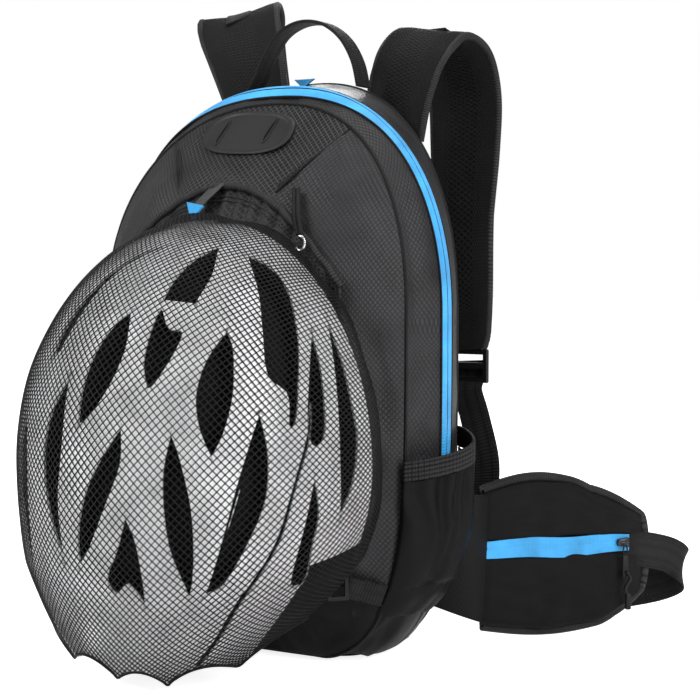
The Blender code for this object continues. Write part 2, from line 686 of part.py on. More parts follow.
VENTS = (  # place (x, z) on the dome, length and width of the opening, and its lean in degrees
    (0.000, 0.205, 0.085, 0.022, 0), (0.048, 0.215, 0.100, 0.022, -14), (-0.048, 0.215, 0.100, 0.022, 14),
    (0.024, 0.105, 0.095, 0.020, 8), (-0.024, 0.105, 0.095, 0.020, -8),
    (0.072, 0.120, 0.080, 0.020, 12), (-0.072, 0.120, 0.080, 0.020, -12),
)


def dome_ring(angle, grow):
    """A ring of the helmet's dome, grown outwards by grow; angle 0 is its rim.

    Its lower end is narrower, stands further from the bag, and leans to the left.
    """
    half = HELMET_HALF + Vector((grow, grow, grow))
    ring = []
    for i in range(28):
        turn = 2 * math.pi * i / 28
        down = max(0.0, -math.sin(turn)) * math.cos(angle)
        taper = 1 - 0.35 * max(0.0, (down - 0.4) / 0.6) ** 1.2
        x = half.x * math.cos(turn) * math.cos(angle) * taper - 0.022 * down ** 2
        y = HELMET_CENTRE.y - half.y * math.sin(angle) - 0.045 * down ** 2 * math.cos(angle) ** 2
        z = HELMET_CENTRE.z + half.z * math.sin(turn) * math.cos(angle)
        ring.append((x, y, max(HELMET_FLOOR - grow, z)))
    return ring


def build_helmet():
    angles = [math.radians(a) for a in (0, 8, 20, 34, 48, 62, 76, 85)]
    cutters = []
    for k, (x, z, length, width, lean) in enumerate(VENTS):
        bm = bmesh.new()
        bmesh.ops.create_uvsphere(bm, u_segments=10, v_segments=6, radius=0.5)
        bmesh.ops.scale(bm, vec=(width, 0.13, length), verts=bm.verts[:])
        turn = Matrix.Rotation(math.radians(lean), 3, "Y")
        bmesh.ops.rotate(bm, matrix=turn, verts=bm.verts[:], cent=(0, 0, 0))
        bmesh.ops.translate(bm, vec=(x, HELMET_CENTRE.y - 0.120, z), verts=bm.verts[:])
        cutter = finish(f"vent_cutter_{k}", bm, "helmet_foam")
        cutter.hide_render = True
        cutter.display_type = "WIRE"
        cutters.append(cutter)
    shell = loft([dome_ring(a, 0.0) for a in angles], cap_first=False)
    liner = loft([dome_ring(a, -HELMET_SHELL - HELMET_GAP) for a in angles[1:]], cap_first=False)
    made = (finish("helmet_shell", shell, "helmet_white", NET_HINGE, wall=HELMET_SHELL),
            finish("helmet_liner", liner, "helmet_foam", NET_HINGE, wall=HELMET_LINER))
    for obj in made:
        for cutter in cutters:
            cut = obj.modifiers.new(cutter.name, "BOOLEAN")
            cut.operation = "DIFFERENCE"
            cut.object = cutter
    net = loft([dome_ring(a, HELMET_GAP) for a in angles], cap_first=False)
    finish("helmet_net", net, "net_mesh", NET_HINGE, wall=NET, outward=True)


def build_net_hooks():
    """A plastic ring on a webbing tab at each lower corner; the net's elastic hem hooks into it."""
    for side, word in ((1, "right"), (-1, "left")):
        places = ((0.116, 0.055, 0.0026), (0.111, 0.058, 0.0028), (0.1055, 0.061, 0.0034))
        tab = [(side * x, front_y(x, z) - lift, z, 0.016, side * 0.3, 0, 1) for x, z, lift in places]
        finish("hook_tab_" + word, ribbon(tab, WEBBING, 5), "webbing")
        hinge = Vector((side * 0.1030, -0.0795, 0.0635))
        turn = Matrix.Rotation(side * math.radians(45), 3, "Z")
        centre = hinge + turn @ Vector((-side * 0.0080, 0, -0.0010))
        ring = block((0.0160, 0.0026, 0.0180), centre, turn, 0.0006)
        hook = finish("net_hook_" + word, ring, "plastic", hinge)
        window = finish("hook_window_" + word, block((0.0100, 0.020, 0.0120), centre, turn), "plastic", hinge)
        window.hide_render = True
        window.display_type = "WIRE"
        cut = hook.modifiers.new("window", "BOOLEAN")
        cut.operation = "DIFFERENCE"
        cut.object = window


def main():
    for obj in list(bpy.data.objects):
        bpy.data.objects.remove(obj, do_unlink=True)
    build_shell()
    build_main_zip()
    build_back()
    build_base()
    build_front_pocket()
    build_light_patch()
    build_pull_tab()
    build_side_pockets()
    build_straps()
    build_handle()
    build_hose_port()
    build_sternum()
    build_wings()
    build_main_sliders()
    build_reservoir()
    build_helmet()
    build_net_hooks()


main()
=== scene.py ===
import math
import bpy
import bmesh
from mathutils import Matrix, Vector, noise
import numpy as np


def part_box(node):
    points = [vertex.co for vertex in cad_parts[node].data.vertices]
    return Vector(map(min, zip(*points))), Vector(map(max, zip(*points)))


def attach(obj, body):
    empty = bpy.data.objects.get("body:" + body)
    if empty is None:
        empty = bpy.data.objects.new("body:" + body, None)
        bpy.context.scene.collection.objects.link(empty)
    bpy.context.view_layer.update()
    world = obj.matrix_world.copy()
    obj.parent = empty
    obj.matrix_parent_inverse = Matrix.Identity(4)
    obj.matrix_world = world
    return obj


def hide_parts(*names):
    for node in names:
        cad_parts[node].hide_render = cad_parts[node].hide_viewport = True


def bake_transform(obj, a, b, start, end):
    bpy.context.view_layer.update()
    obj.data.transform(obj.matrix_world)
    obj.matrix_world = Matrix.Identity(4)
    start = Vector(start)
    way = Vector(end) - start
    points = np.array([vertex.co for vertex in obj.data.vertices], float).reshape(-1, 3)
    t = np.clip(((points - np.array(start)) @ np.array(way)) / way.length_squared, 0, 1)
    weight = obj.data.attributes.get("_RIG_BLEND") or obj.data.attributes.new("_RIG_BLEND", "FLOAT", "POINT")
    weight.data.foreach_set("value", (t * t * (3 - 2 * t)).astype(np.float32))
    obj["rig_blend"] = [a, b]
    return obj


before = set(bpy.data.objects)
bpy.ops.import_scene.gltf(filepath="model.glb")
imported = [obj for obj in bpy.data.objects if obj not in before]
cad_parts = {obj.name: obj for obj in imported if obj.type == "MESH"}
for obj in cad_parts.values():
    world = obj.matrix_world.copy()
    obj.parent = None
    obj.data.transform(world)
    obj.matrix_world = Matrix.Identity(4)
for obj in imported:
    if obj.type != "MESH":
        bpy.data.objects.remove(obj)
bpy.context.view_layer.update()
print("frame loaded")

# View

camera = bpy.data.objects.new("camera", bpy.data.cameras.new("camera"))
viewTurn = math.radians(30)
viewDrop = math.radians(3)
viewDistance = 1.28
viewAim = Matrix.Rotation(viewTurn, 3, "Z") @ Vector((0.0253, 0, 0)) + Vector((0, 0.05, 0.221))
camera.rotation_euler = (math.pi / 2 - viewDrop, 0, viewTurn)
camera.location = viewAim + camera.rotation_euler.to_matrix() @ Vector((0, 0, viewDistance))
camera.data.lens = 82.29
camera.data.sensor_width = 36
bpy.context.scene.collection.objects.link(camera)
bpy.context.scene.camera = camera


# Shape helpers

def power(value, exponent):
    return math.copysign(abs(value) ** exponent, value)


def ease(value):
    share = max(0.0, min(1.0, value))
    return share * share * (3 - 2 * share)


def smoothRead(points, place, closed=False):
    # Catmull-Rom curve through points, read at place from 0 to 1
    count = len(points)
    spans = count if closed else count - 1
    at = min(max(place, 0.0), 1.0) * spans
    k = min(int(at), spans - 1)
    t = at - k
    near = [points[(k + j) % count] if closed else points[max(0, min(spans, k + j))] for j in (-1, 0, 1, 2)]
    return [0.5 * (2 * b + (c - a) * t + (2 * a - 5 * b + 4 * c - d) * t * t + (3 * b - a - 3 * c + d)
                   * t ** 3)
            for a, b, c, d in zip(*near)]


def wobble(point, scale, seed=0.0):
    return noise.noise(Vector(point) * scale + Vector((seed, seed * 1.7, seed * 0.3)))


def mappedSheet(across, along, place, flat=(1.0, 1.0), closed=False, ends=False, lift=None, core=None,
                uvOf=None):
    # a grid whose corners are put by place(u, v); its UV map is in metres
    bm = bmesh.new()
    bmesh.ops.create_grid(bm, x_segments=across, y_segments=along, size=0.5)
    uvKey = bm.loops.layers.uv.new("UVMap")
    uKey = bm.verts.layers.float.new("u")
    vKey = bm.verts.layers.float.new("v")
    for vert in bm.verts:
        vert[uKey] = vert.co.x + 0.5
        vert[vKey] = vert.co.y + 0.5
    for face in bm.faces:
        for loop in face.loops:
            loop[uvKey].uv = (loop.vert[uKey] * flat[0], loop.vert[vKey] * flat[1])
    for vert in bm.verts:
        vert.co = place(vert[uKey], vert[vKey])
    if uvOf:
        for face in bm.faces:
            for loop in face.loops:
                loop[uvKey].uv = uvOf(loop.vert.co)
    if closed:
        bmesh.ops.remove_doubles(bm, verts=bm.verts[:], dist=1e-5)
    if ends:
        bmesh.ops.holes_fill(bm, edges=[e for e in bm.edges if e.is_boundary], sides=0)
    bmesh.ops.recalc_face_normals(bm, faces=bm.faces[:])
    if core is not None:
        faceAway(bm, Vector(core))
    bm.normal_update()
    if lift:
        moves = [(vert, vert.normal * lift(vert[uKey], vert[vKey], vert.co)) for vert in bm.verts]
        for vert, move in moves:
            vert.co += move
    return bm


def faceAway(bm, core):
    away = sum(face.normal.dot(face.calc_center_median() - core) for face in bm.faces)
    if away < 0:
        bmesh.ops.reverse_faces(bm, faces=bm.faces[:])


def makePiece(name, bm, materials, body, replaced=(), wall=0.0, offset=-1.0, rounding=0, sharp=50,
              even=True):
    mesh = bpy.data.meshes.new(name)
    bm.to_mesh(mesh)
    bm.free()
    mesh.shade_smooth()
    mesh.set_sharp_from_angle(angle=math.radians(sharp))
    for made in materials if isinstance(materials, (list, tuple)) else [materials]:
        mesh.materials.append(made)
    piece = bpy.data.objects.new(name, mesh)
    bpy.context.scene.collection.objects.link(piece)
    if wall:
        solid = piece.modifiers.new("wall", "SOLIDIFY")
        solid.thickness = wall
        solid.offset = offset
        solid.use_even_offset = even
    if rounding:
        smooth = piece.modifiers.new("rounding", "SUBSURF")
        smooth.levels = rounding
        smooth.render_levels = rounding
    if body:
        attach(piece, body)
    if replaced:
        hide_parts(*replaced)
    return piece


def frameAt(read, place, closed=False):
    # centre, along, across and out directions of a path at a share of its length
    here = read(place)
    step = 0.004
    low, high = (place - step, place + step) if closed else (max(0, place - step), min(1, place + step))
    along = (Vector(read(high % 1.0 if closed else high)[:3])
             - Vector(read(low % 1.0 if closed else low)[:3]))
    along.normalize()
    across = Vector(here[4:7]) if len(here) > 6 else along.orthogonal()
    across = (across - along * across.dot(along)).normalized()
    return Vector(here[:3]), along, across, along.cross(across)


def pathLength(read, steps=60):
    spots = [Vector(read(k / steps)[:3]) for k in range(steps + 1)]
    return sum((b - a).length for a, b in zip(spots, spots[1:]))


def strapMesh(path, thickness, steps=60, around=20, squareness=6.0, lift=None, raised=0.0):
    # a strap along points of x, y, z, width and the width's direction
    def read(place):
        return smoothRead(path, place)

    def place(u, v):
        centre, _, across, out = frameAt(read, v)
        width = read(v)[3]
        turn = 2 * math.pi * u
        side = power(math.cos(turn), 2 / squareness) * width / 2
        deep = power(math.sin(turn), 2 / squareness) * thickness / 2
        return centre + across * side + out * (deep + raised)

    width = read(0.5)[3]
    return mappedSheet(around, steps, place, (2 * width, pathLength(read)), closed=True, ends=True, lift=lift)


def tubeMesh(points, radius, steps=80, around=8, closed=False, flatness=1.0):
    # a round cord through points; with closed it is a ring
    def read(place):
        return smoothRead(points, place, closed)

    up = Vector((0.13, 0.21, 0.97))

    def place(u, v):
        share = v % 1.0 if closed else v
        centre = Vector(read(share)[:3])
        step = 0.3 / steps
        ahead = Vector(read((share + step) % 1.0 if closed else min(1, share + step))[:3])
        behind = Vector(read((share - step) % 1.0 if closed else max(0, share - step))[:3])
        along = (ahead - behind).normalized()
        side = along.cross(up)
        side = side.normalized() if side.length > 1e-4 else along.orthogonal().normalized()
        out = side.cross(along)
        turn = 2 * math.pi * u
        return centre + (side * math.cos(turn) + out * math.sin(turn) * flatness) * radius

    length = pathLength(read)
    return mappedSheet(around, steps, place, (2 * math.pi * radius, length), closed=True, ends=not closed)


def blockMesh(size, centre, turn=Matrix.Identity(3), bevel=0.001, segments=2):
    bm = bmesh.new()
    bmesh.ops.create_cube(bm, size=1.0)
    bmesh.ops.scale(bm, vec=size, verts=bm.verts[:])
    bmesh.ops.bevel(bm, geom=bm.edges[:], offset=bevel, segments=segments, profile=0.5, affect="EDGES",
                    material=-1)
    bmesh.ops.rotate(bm, matrix=turn, verts=bm.verts[:], cent=(0, 0, 0))
    bmesh.ops.translate(bm, vec=centre, verts=bm.verts[:])
    return bm


def joinMeshes(*parts):
    whole = bmesh.new()
    for part in parts:
        holder = bpy.data.meshes.new("holder")
        part.to_mesh(holder)
        part.free()
        whole.from_mesh(holder)
        bpy.data.meshes.remove(holder)
    return whole


def stitchMesh(points, pitch=0.0032, length=0.0021, radius=0.00035):
    # short thread stitches laid along a path
    def read(place):
        return smoothRead(points, place)

    count = max(2, int(pathLength(read) / pitch))
    bm = bmesh.new()
    for k in range(count):
        share = (k + 0.5) / count
        centre, along, across, out = frameAt(read, share)
        made = bmesh.ops.create_cube(bm, size=1.0)["verts"]
        bmesh.ops.scale(bm, vec=(length, radius * 2, radius * 2), verts=made)
        turn = Matrix((along, across, out)).transposed()
        bmesh.ops.rotate(bm, matrix=turn, verts=made, cent=(0, 0, 0))
        bmesh.ops.translate(bm, vec=centre, verts=made)
    return bm


# Material helpers

def addNode(tree, kind, inputs=None, **settings):
    made = tree.nodes.new("ShaderNode" + kind)
    for key, value in settings.items():
        setattr(made, key, value)
    for key, value in (inputs or {}).items():
        if isinstance(value, bpy.types.NodeSocket):
            tree.links.new(value, made.inputs[key])
        else:
            made.inputs[key].default_value = value
    return made


def calc(tree, operation, first, second=0.0):
    return addNode(tree, "Math", {0: first, 1: second}, operation=operation).outputs[0]


def newGroup(name, inputs, outputs):
    tree = bpy.data.node_groups.new(name, "ShaderNodeTree")
    for label, kind, value in inputs:
        made = tree.interface.new_socket(label, in_out="INPUT", socket_type="NodeSocket" + kind)
        if value is not None:
            made.default_value = value
    for label in outputs:
        tree.interface.new_socket(label, in_out="OUTPUT", socket_type="NodeSocketFloat")
    return tree, tree.nodes.new("NodeGroupInput"), tree.nodes.new("NodeGroupOutput")


def useGroup(tree, group, **inputs):
    made = tree.nodes.new("ShaderNodeGroup")
    made.node_tree = group
    for key, value in inputs.items():
        if isinstance(value, bpy.types.NodeSocket):
            tree.links.new(value, made.inputs[key])
        else:
            made.inputs[key].default_value = value
    return made


def makeLattice():
    # crossing slanted lines: Mask is 1 on a line, Height is a small pillow in each cell
    tree, given, out = newGroup("lattice", (("Vector", "Vector", None), ("Pitch", "Float", 0.005),
                                            ("Slant", "Float", 0.6), ("Line", "Float", 0.1)),
                                ("Mask", "Height"))
    parts = addNode(tree, "SeparateXYZ", {0: given.outputs["Vector"]})
    first = calc(tree, "DIVIDE", parts.outputs[0], given.outputs["Pitch"])
    second = calc(tree, "DIVIDE", parts.outputs[1], given.outputs["Pitch"])
    second = calc(tree, "MULTIPLY", second, given.outputs["Slant"])
    gaps = []
    for operation in ("ADD", "SUBTRACT"):
        gaps.append(calc(tree, "PINGPONG", calc(tree, operation, first, second), 0.5))
    nearest = calc(tree, "MINIMUM", gaps[0], gaps[1])
    lines = calc(tree, "DIVIDE", nearest, given.outputs["Line"])
    lines = addNode(tree, "Math", {0: 1.0, 1: lines}, operation="SUBTRACT", use_clamp=True).outputs[0]
    tree.links.new(lines, out.inputs["Mask"])
    tree.links.new(calc(tree, "POWER", calc(tree, "MULTIPLY", nearest, 2.0), 0.5), out.inputs["Height"])
    return tree


def makeRibs():
    # even round ribs across a distance in metres
    tree, given, out = newGroup("ribs", (("Distance", "Float", 0.0), ("Pitch", "Float", 0.001)), ("Height",))
    steps = calc(tree, "DIVIDE", given.outputs["Distance"], given.outputs["Pitch"])
    gap = calc(tree, "PINGPONG", steps, 0.5)
    round_ = calc(tree, "SINE", calc(tree, "MULTIPLY", gap, math.pi))
    tree.links.new(round_, out.inputs["Height"])
    return tree


def makeCloth():
    # uneven tone and fine thread height that every cloth has
    tree, given, out = newGroup("cloth", (("Vector", "Vector", None), ("Thread", "Float", 0.0008)),
                                ("Tone", "Height"))
    broad = addNode(tree, "TexNoise", {"Vector": given.outputs["Vector"], "Scale": 38.0, "Detail": 4.0})
    tone = addNode(tree, "MapRange", {0: broad.outputs[0], 1: 0.3, 2: 0.7, 3: 0.75, 4: 1.25}).outputs[0]
    tree.links.new(tone, out.inputs["Tone"])
    parts = addNode(tree, "SeparateXYZ", {0: given.outputs["Vector"]})
    waves = []
    for k in range(3):
        turned = calc(tree, "DIVIDE", parts.outputs[k], given.outputs["Thread"])
        waves.append(calc(tree, "SINE", calc(tree, "MULTIPLY", turned, 2 * math.pi)))
    woven = calc(tree, "ADD", calc(tree, "MULTIPLY", waves[0], waves[1]),
                 calc(tree, "MULTIPLY", waves[1], waves[2]))
    fine = addNode(tree, "TexNoise", {"Vector": given.outputs["Vector"], "Scale": 900.0, "Detail": 2.0})
    tree.links.new(calc(tree, "ADD", woven, fine.outputs[0]), out.inputs["Height"])
    return tree


lattice, ribs, cloth = makeLattice(), makeRibs(), makeCloth()


def startMaterial(name, colour, roughness, specular=0.3, metallic=0.0, sheen=0.0, coat=0.0):
    made = bpy.data.materials.new(name)
    made.use_nodes = True
    tree = made.node_tree
    shader = tree.nodes["Principled BSDF"]
    shader.inputs["Base Color"].default_value = (*colour, 1)
    shader.inputs["Roughness"].default_value = roughness
    shader.inputs["Specular IOR Level"].default_value = specular
    shader.inputs["Metallic"].default_value = metallic
    shader.inputs["Sheen Weight"].default_value = sheen
    shader.inputs["Sheen Roughness"].default_value = 0.4
    shader.inputs["Coat Weight"].default_value = coat
    place = addNode(tree, "TexCoord")
    return made, tree, shader, place


def addBump(tree, shader, height, distance, strength=0.6):
    bump = addNode(tree, "Bump", {"Strength": strength, "Distance": distance, "Height": height})
    tree.links.new(bump.outputs[0], shader.inputs["Normal"])
    return bump


def tinted(tree, shader, colour, other, mask, tone):
    # colour where mask is 0 and other where it is 1, both varied by tone
    mixed = addNode(tree, "Mix", {0: mask, 6: (*colour, 1), 7: (*other, 1)}, data_type="RGBA")
    toned = addNode(tree, "Mix", {0: 1.0, 6: mixed.outputs[2]}, data_type="RGBA", blend_type="MULTIPLY")
    grey = addNode(tree, "CombineColor", {0: tone, 1: tone, 2: tone})
    tree.links.new(grey.outputs[0], toned.inputs[7])
    tree.links.new(toned.outputs[2], shader.inputs["Base Color"])


def latticeCloth(name, colour, lineAndSheenColour, pitch, slant, line, roughness=0.42, turn=0.0, sheen=0.03):
    made, tree, shader, place = startMaterial(name, colour, roughness, 0.22, sheen=sheen)
    turned = addNode(tree, "Mapping", {"Vector": place.outputs["UV"], "Rotation": (0, 0, turn)})
    grid = useGroup(tree, lattice, Vector=turned.outputs[0], Pitch=pitch, Slant=slant, Line=line)
    base = useGroup(tree, cloth, Vector=place.outputs["Object"], Thread=0.0006)
    # lines take the second colour: the cloth's own line colour, and on the yoke a painted sheen
    tinted(tree, shader, colour, lineAndSheenColour, grid.outputs["Mask"], base.outputs["Tone"])
    both = calc(tree, "ADD", grid.outputs["Height"], calc(tree, "MULTIPLY", base.outputs["Height"], 0.08))
    addBump(tree, shader, both, 0.0005, 0.55)
    rough = calc(tree, "MULTIPLY", base.outputs["Tone"], roughness)
    tree.links.new(rough, shader.inputs["Roughness"])
    return made


def plainCloth(name, colour, roughness=0.5, thread=0.0007, sheen=0.03, depth=0.0002, specular=0.22):
    made, tree, shader, place = startMaterial(name, colour, roughness, specular, sheen=sheen)
    base = useGroup(tree, cloth, Vector=place.outputs["Object"], Thread=thread)
    tinted(tree, shader, colour, colour, 0.0, base.outputs["Tone"])
    addBump(tree, shader, base.outputs["Height"], depth, 0.4)
    rough = calc(tree, "MULTIPLY", base.outputs["Tone"], roughness)
    tree.links.new(rough, shader.inputs["Roughness"])
    return made


def ribbedCloth(name, colour, recessShade, pitch, axis=1, roughness=0.6, depth=0.0005, cross=0.0):
    # ribs along UV's u or v, for webbing, bindings and elastic; the second colour is painted shade in the low
    # parts between the ribs
    made, tree, shader, place = startMaterial(name, colour, roughness, 0.18, sheen=0.02)
    parts = addNode(tree, "SeparateXYZ", {0: place.outputs["UV"]})
    rows = useGroup(tree, ribs, Distance=parts.outputs[axis], Pitch=pitch)
    height = rows.outputs["Height"]
    if cross:
        other = useGroup(tree, ribs, Distance=parts.outputs[1 - axis], Pitch=cross)
        height = calc(tree, "MULTIPLY", height, calc(tree, "ADD", other.outputs["Height"], 0.35))
    base = useGroup(tree, cloth, Vector=place.outputs["Object"], Thread=0.0005)
    # painted shade: the colour goes darker where the rib is low
    mask = calc(tree, "SUBTRACT", 1.0, height)
    tinted(tree, shader, colour, recessShade, mask, base.outputs["Tone"])
    both = calc(tree, "ADD", height, calc(tree, "MULTIPLY", base.outputs["Height"], 0.05))
    addBump(tree, shader, both, depth, 0.8)
    return made


def spacerMesh(name, colour, recessShade, pitch):
    # knitted mesh with small round holes in offset rows; the holes are filled with painted shade
    made, tree, shader, place = startMaterial(name, colour, 0.7, 0.15, sheen=0.03)
    grid = useGroup(tree, lattice, Vector=place.outputs["UV"], Pitch=pitch, Slant=0.62, Line=0.22)
    base = useGroup(tree, cloth, Vector=place.outputs["Object"], Thread=0.0006)
    # painted shade: the second colour fills the holes between the raised strands
    hole = calc(tree, "SUBTRACT", 1.0, grid.outputs["Mask"])
    tinted(tree, shader, colour, recessShade, hole, base.outputs["Tone"])
    height = calc(tree, "ADD", grid.outputs["Mask"], calc(tree, "MULTIPLY", base.outputs["Height"], 0.05))
    addBump(tree, shader, height, 0.0009, 0.8)
    return made


def mouldedPlastic(name, colour, roughness, metallic=0.0, grain=0.0001, specular=0.25, scale=700.0, coat=0.0):
    made, tree, shader, place = startMaterial(name, colour, roughness, specular, metallic, coat=coat)
    fine = addNode(tree, "TexNoise", {"Vector": place.outputs["Object"], "Scale": scale, "Detail": 3.0})
    broad = addNode(tree, "TexNoise", {"Vector": place.outputs["Object"], "Scale": 45.0, "Detail": 3.0})
    tone = addNode(tree, "MapRange", {0: broad.outputs[0], 1: 0.3, 2: 0.7, 3: 0.85, 4: 1.15}).outputs[0]
    tinted(tree, shader, colour, colour, 0.0, tone)
    tree.links.new(calc(tree, "MULTIPLY", tone, roughness), shader.inputs["Roughness"])
    addBump(tree, shader, fine.outputs[0], grain, 0.5)
    return made


def tapeCloth(name, colour):
    # zip tape: fine ribs, and colour that pales a little along their edges as a painted highlight
    made, tree, shader, place = startMaterial(name, colour, 0.45, 0.35, sheen=0.2)
    parts = addNode(tree, "SeparateXYZ", {0: place.outputs["UV"]})
    rows = useGroup(tree, ribs, Distance=parts.outputs[0], Pitch=0.0011)
    base = useGroup(tree, cloth, Vector=place.outputs["Object"], Thread=0.0005)
    paintedHighlight = tuple(min(1, c * 0.6 + 0.10) for c in colour)
    # painted highlight: up to a quarter of the paler blue where the ribs are low
    mask = calc(tree, "MULTIPLY", calc(tree, "SUBTRACT", 1.0, rows.outputs["Height"]), 0.25)
    tinted(tree, shader, colour, paintedHighlight, mask, base.outputs["Tone"])
    addBump(tree, shader, rows.outputs["Height"], 0.0003, 0.5)
    return made


sideCloth = latticeCloth("sideCloth", (0.027, 0.027, 0.029), (0.003, 0.003, 0.0035), 0.0050, 1.2, 0.19, 0.36)
# the yoke's light line colour is painted sheen of its raised threads
yokeCloth = latticeCloth("yokeCloth", (0.0025, 0.0025, 0.003), (0.060, 0.060, 0.063), 0.0050, 1.25, 0.12,
                         0.45)
pocketCloth = latticeCloth("pocketCloth", (0.006, 0.006, 0.0065), (0.030, 0.030, 0.032), 0.0050, 1.2, 0.12,
                           0.45)
stretchCloth = plainCloth("stretchCloth", (0.003, 0.003, 0.0034), 0.46, 0.0006, 0.0, specular=0.13)
baseCloth = plainCloth("baseCloth", (0.004, 0.004, 0.0045), 0.42, 0.0008, 0.0, specular=0.16)
# the third colour of each ribbed cloth is painted shade between its ribs
hemElastic = ribbedCloth("hemElastic", (0.028, 0.028, 0.030), (0.005, 0.005, 0.0055), 0.0032, 1, 0.6,
                         0.0008, 0.0014)
bindingTape = ribbedCloth("bindingTape", (0.030, 0.030, 0.032), (0.003, 0.003, 0.003), 0.0018, 1, 0.55,
                          0.0005)
webbingWeave = ribbedCloth("webbingWeave", (0.014, 0.014, 0.015), (0.003, 0.003, 0.003), 0.0016, 1, 0.6,
                           0.0005, 0.0022)
# the third colour of each spacer mesh is painted shade inside its holes
strapMeshCloth = spacerMesh("strapMeshCloth", (0.013, 0.013, 0.014), (0.003, 0.003, 0.003), 0.0019)
backMeshCloth = spacerMesh("backMeshCloth", (0.013, 0.013, 0.014), (0.002, 0.002, 0.002), 0.0040)
# the zip tape's paler tint, worked out from this blue, is a painted highlight
zipBlue = tapeCloth("zipBlue", (0.040, 0.360, 0.760))
pullBlue = plainCloth("pullBlue", (0.030, 0.300, 0.640), 0.5, 0.0009, 0.1)
# the third colour is painted shade between the ribs
tabGrey = ribbedCloth("tabGrey", (0.070, 0.071, 0.073), (0.025, 0.025, 0.026), 0.0014, 1, 0.6, 0.0004)
blackPlastic = mouldedPlastic("blackPlastic", (0.006, 0.006, 0.0065), 0.42)
patchRubber = mouldedPlastic("patchRubber", (0.009, 0.009, 0.0095), 0.55, 0.0, 0.0003, 0.35, 1400.0)
# painted shade: near-black for the insides of the light patch's slots, and for the main zip's slit where the
# coil also lies
slotShadeAndCoil = mouldedPlastic("slotShadeAndCoil", (0.003, 0.003, 0.003), 0.8, specular=0.1)
darkMetal = mouldedPlastic("darkMetal", (0.06, 0.06, 0.065), 0.35, 1.0)
brightMetal = mouldedPlastic("brightMetal", (0.72, 0.72, 0.74), 0.22, 1.0)
# the third colour is painted shade between the ribs
pipingBlack = ribbedCloth("pipingBlack", (0.005, 0.005, 0.0055), (0.002, 0.002, 0.002), 0.0012, 1, 0.4,
                          0.0002)
threadGrey = plainCloth("threadGrey", (0.022, 0.022, 0.024), 0.6, 0.0004)
netCord = plainCloth("netCord", (0.004, 0.004, 0.0045), 0.6, 0.0004, 0.0)
helmetPaint = mouldedPlastic("helmetPaint", (0.80, 0.80, 0.81), 0.30, 0.0, 0.00004, 0.5, 300.0, 0.3)
helmetFoam = mouldedPlastic("helmetFoam", (0.004, 0.004, 0.0045), 0.85, 0.0, 0.0008, 0.2, 520.0)
reservoirFilm = mouldedPlastic("reservoirFilm", (0.40, 0.58, 0.72), 0.25, 0.0, 0.0001, 0.5, 120.0)
print("materials made")

# Bag

bag = {"halfWidth": 0.144, "widestZ": 0.250, "topRise": 0.174, "baseDrop": 0.262, "topSquareness": 2.25,
       "baseSquareness": 4.0, "zipY": -0.005, "backY": 0.050, "narrowing": 0.150, "extraRise": 0.008,
       "depth": 0.100, "depthTop": 0.012, "depthBase": 0.070, "deepestZ": 0.200, "floor": 0.0034,
       "pipingAngle": 24, "core": (0, 0, 0.2)}


def backShare(y):
    return max(0.0, (y - bag["zipY"]) / (bag["backY"] - bag["zipY"])) ** 1.5


def outline(turn, y=bag["zipY"], size=1.0):
    c, s = math.cos(turn), math.sin(turn)
    exponent = 2 / (bag["topSquareness"] if s > 0 else bag["baseSquareness"])
    rise = bag["topRise"] + bag["extraRise"] * backShare(y) if s > 0 else bag["baseDrop"]
    width = bag["halfWidth"] * (1 - bag["narrowing"] * backShare(y))
    return power(c, exponent) * width * size, bag["widestZ"] + power(s, exponent) * rise * size


def frontDepth(z):
    if z > bag["deepestZ"]:
        share = min(1.0, (z - bag["deepestZ"]) / (bag["widestZ"] + bag["topRise"] - bag["deepestZ"]))
        return bag["depthTop"] + (bag["depth"] - bag["depthTop"]) * (1 - share ** 3.2)
    return bag["depth"] - (bag["depth"] - bag["depthBase"]) * ((bag["deepestZ"] - z) / bag["deepestZ"]) ** 2


def domeSquareness(down):
    return 2.2 + 2.3 * max(0.0, down) ** 2


def bagPoint(turn, angle):
    # a point of the front shell at an angle round the outline and an angle in from the zip
    n = domeSquareness(-math.sin(turn))
    x, z = outline(turn, bag["zipY"], math.cos(angle) ** (2 / n))
    y = bag["zipY"] - 0.001 - frontDepth(max(z, 0)) * math.sin(angle) ** (2 / n)
    return Vector((x, y, max(z, bag["floor"])))


def frontY(x, z):
    squareness = bag["topSquareness"] if z > bag["widestZ"] else bag["baseSquareness"]
    rise = bag["topRise"] if z > bag["widestZ"] else bag["baseDrop"]
    across, up = abs(x) / bag["halfWidth"], abs(z - bag["widestZ"]) / rise
    radius = min(1.0, (across ** squareness + up ** squareness) ** (1 / squareness))
    down = 0.0 if z > bag["widestZ"] else up / max(1e-6, math.hypot(across, up))
    n = domeSquareness(down)
    return bag["zipY"] - frontDepth(z) * (1 - radius ** n) ** (1 / n)


def sideX(y, z):
    squareness = bag["topSquareness"] if z > bag["widestZ"] else bag["baseSquareness"]
    rise = bag["topRise"] if z > bag["widestZ"] else bag["baseDrop"]
    up = abs(z - bag["widestZ"]) / rise
    if y >= bag["zipY"]:
        width = bag["halfWidth"] * (1 - bag["narrowing"] * backShare(y))
        return width * (1 - up ** squareness) ** (1 / squareness)
    low, high = 0.0, bag["halfWidth"]
    for _ in range(24):
        middle = (low + high) / 2
        low, high = (middle, high) if frontY(middle, z) < y else (low, middle)
    return low


def onFront(x, z, lift=0.0):
    return Vector((x, frontY(x, z) - lift, z))


def evenTurns(count=720):
    # turns at even steps of arc round the outline
    spots = [Vector(outline(2 * math.pi * k / count)) for k in range(count + 1)]
    lengths = [0.0]
    for a, b in zip(spots, spots[1:]):
        lengths.append(lengths[-1] + (b - a).length)
    return lengths


arcLengths = evenTurns()
perimeter = arcLengths[-1]


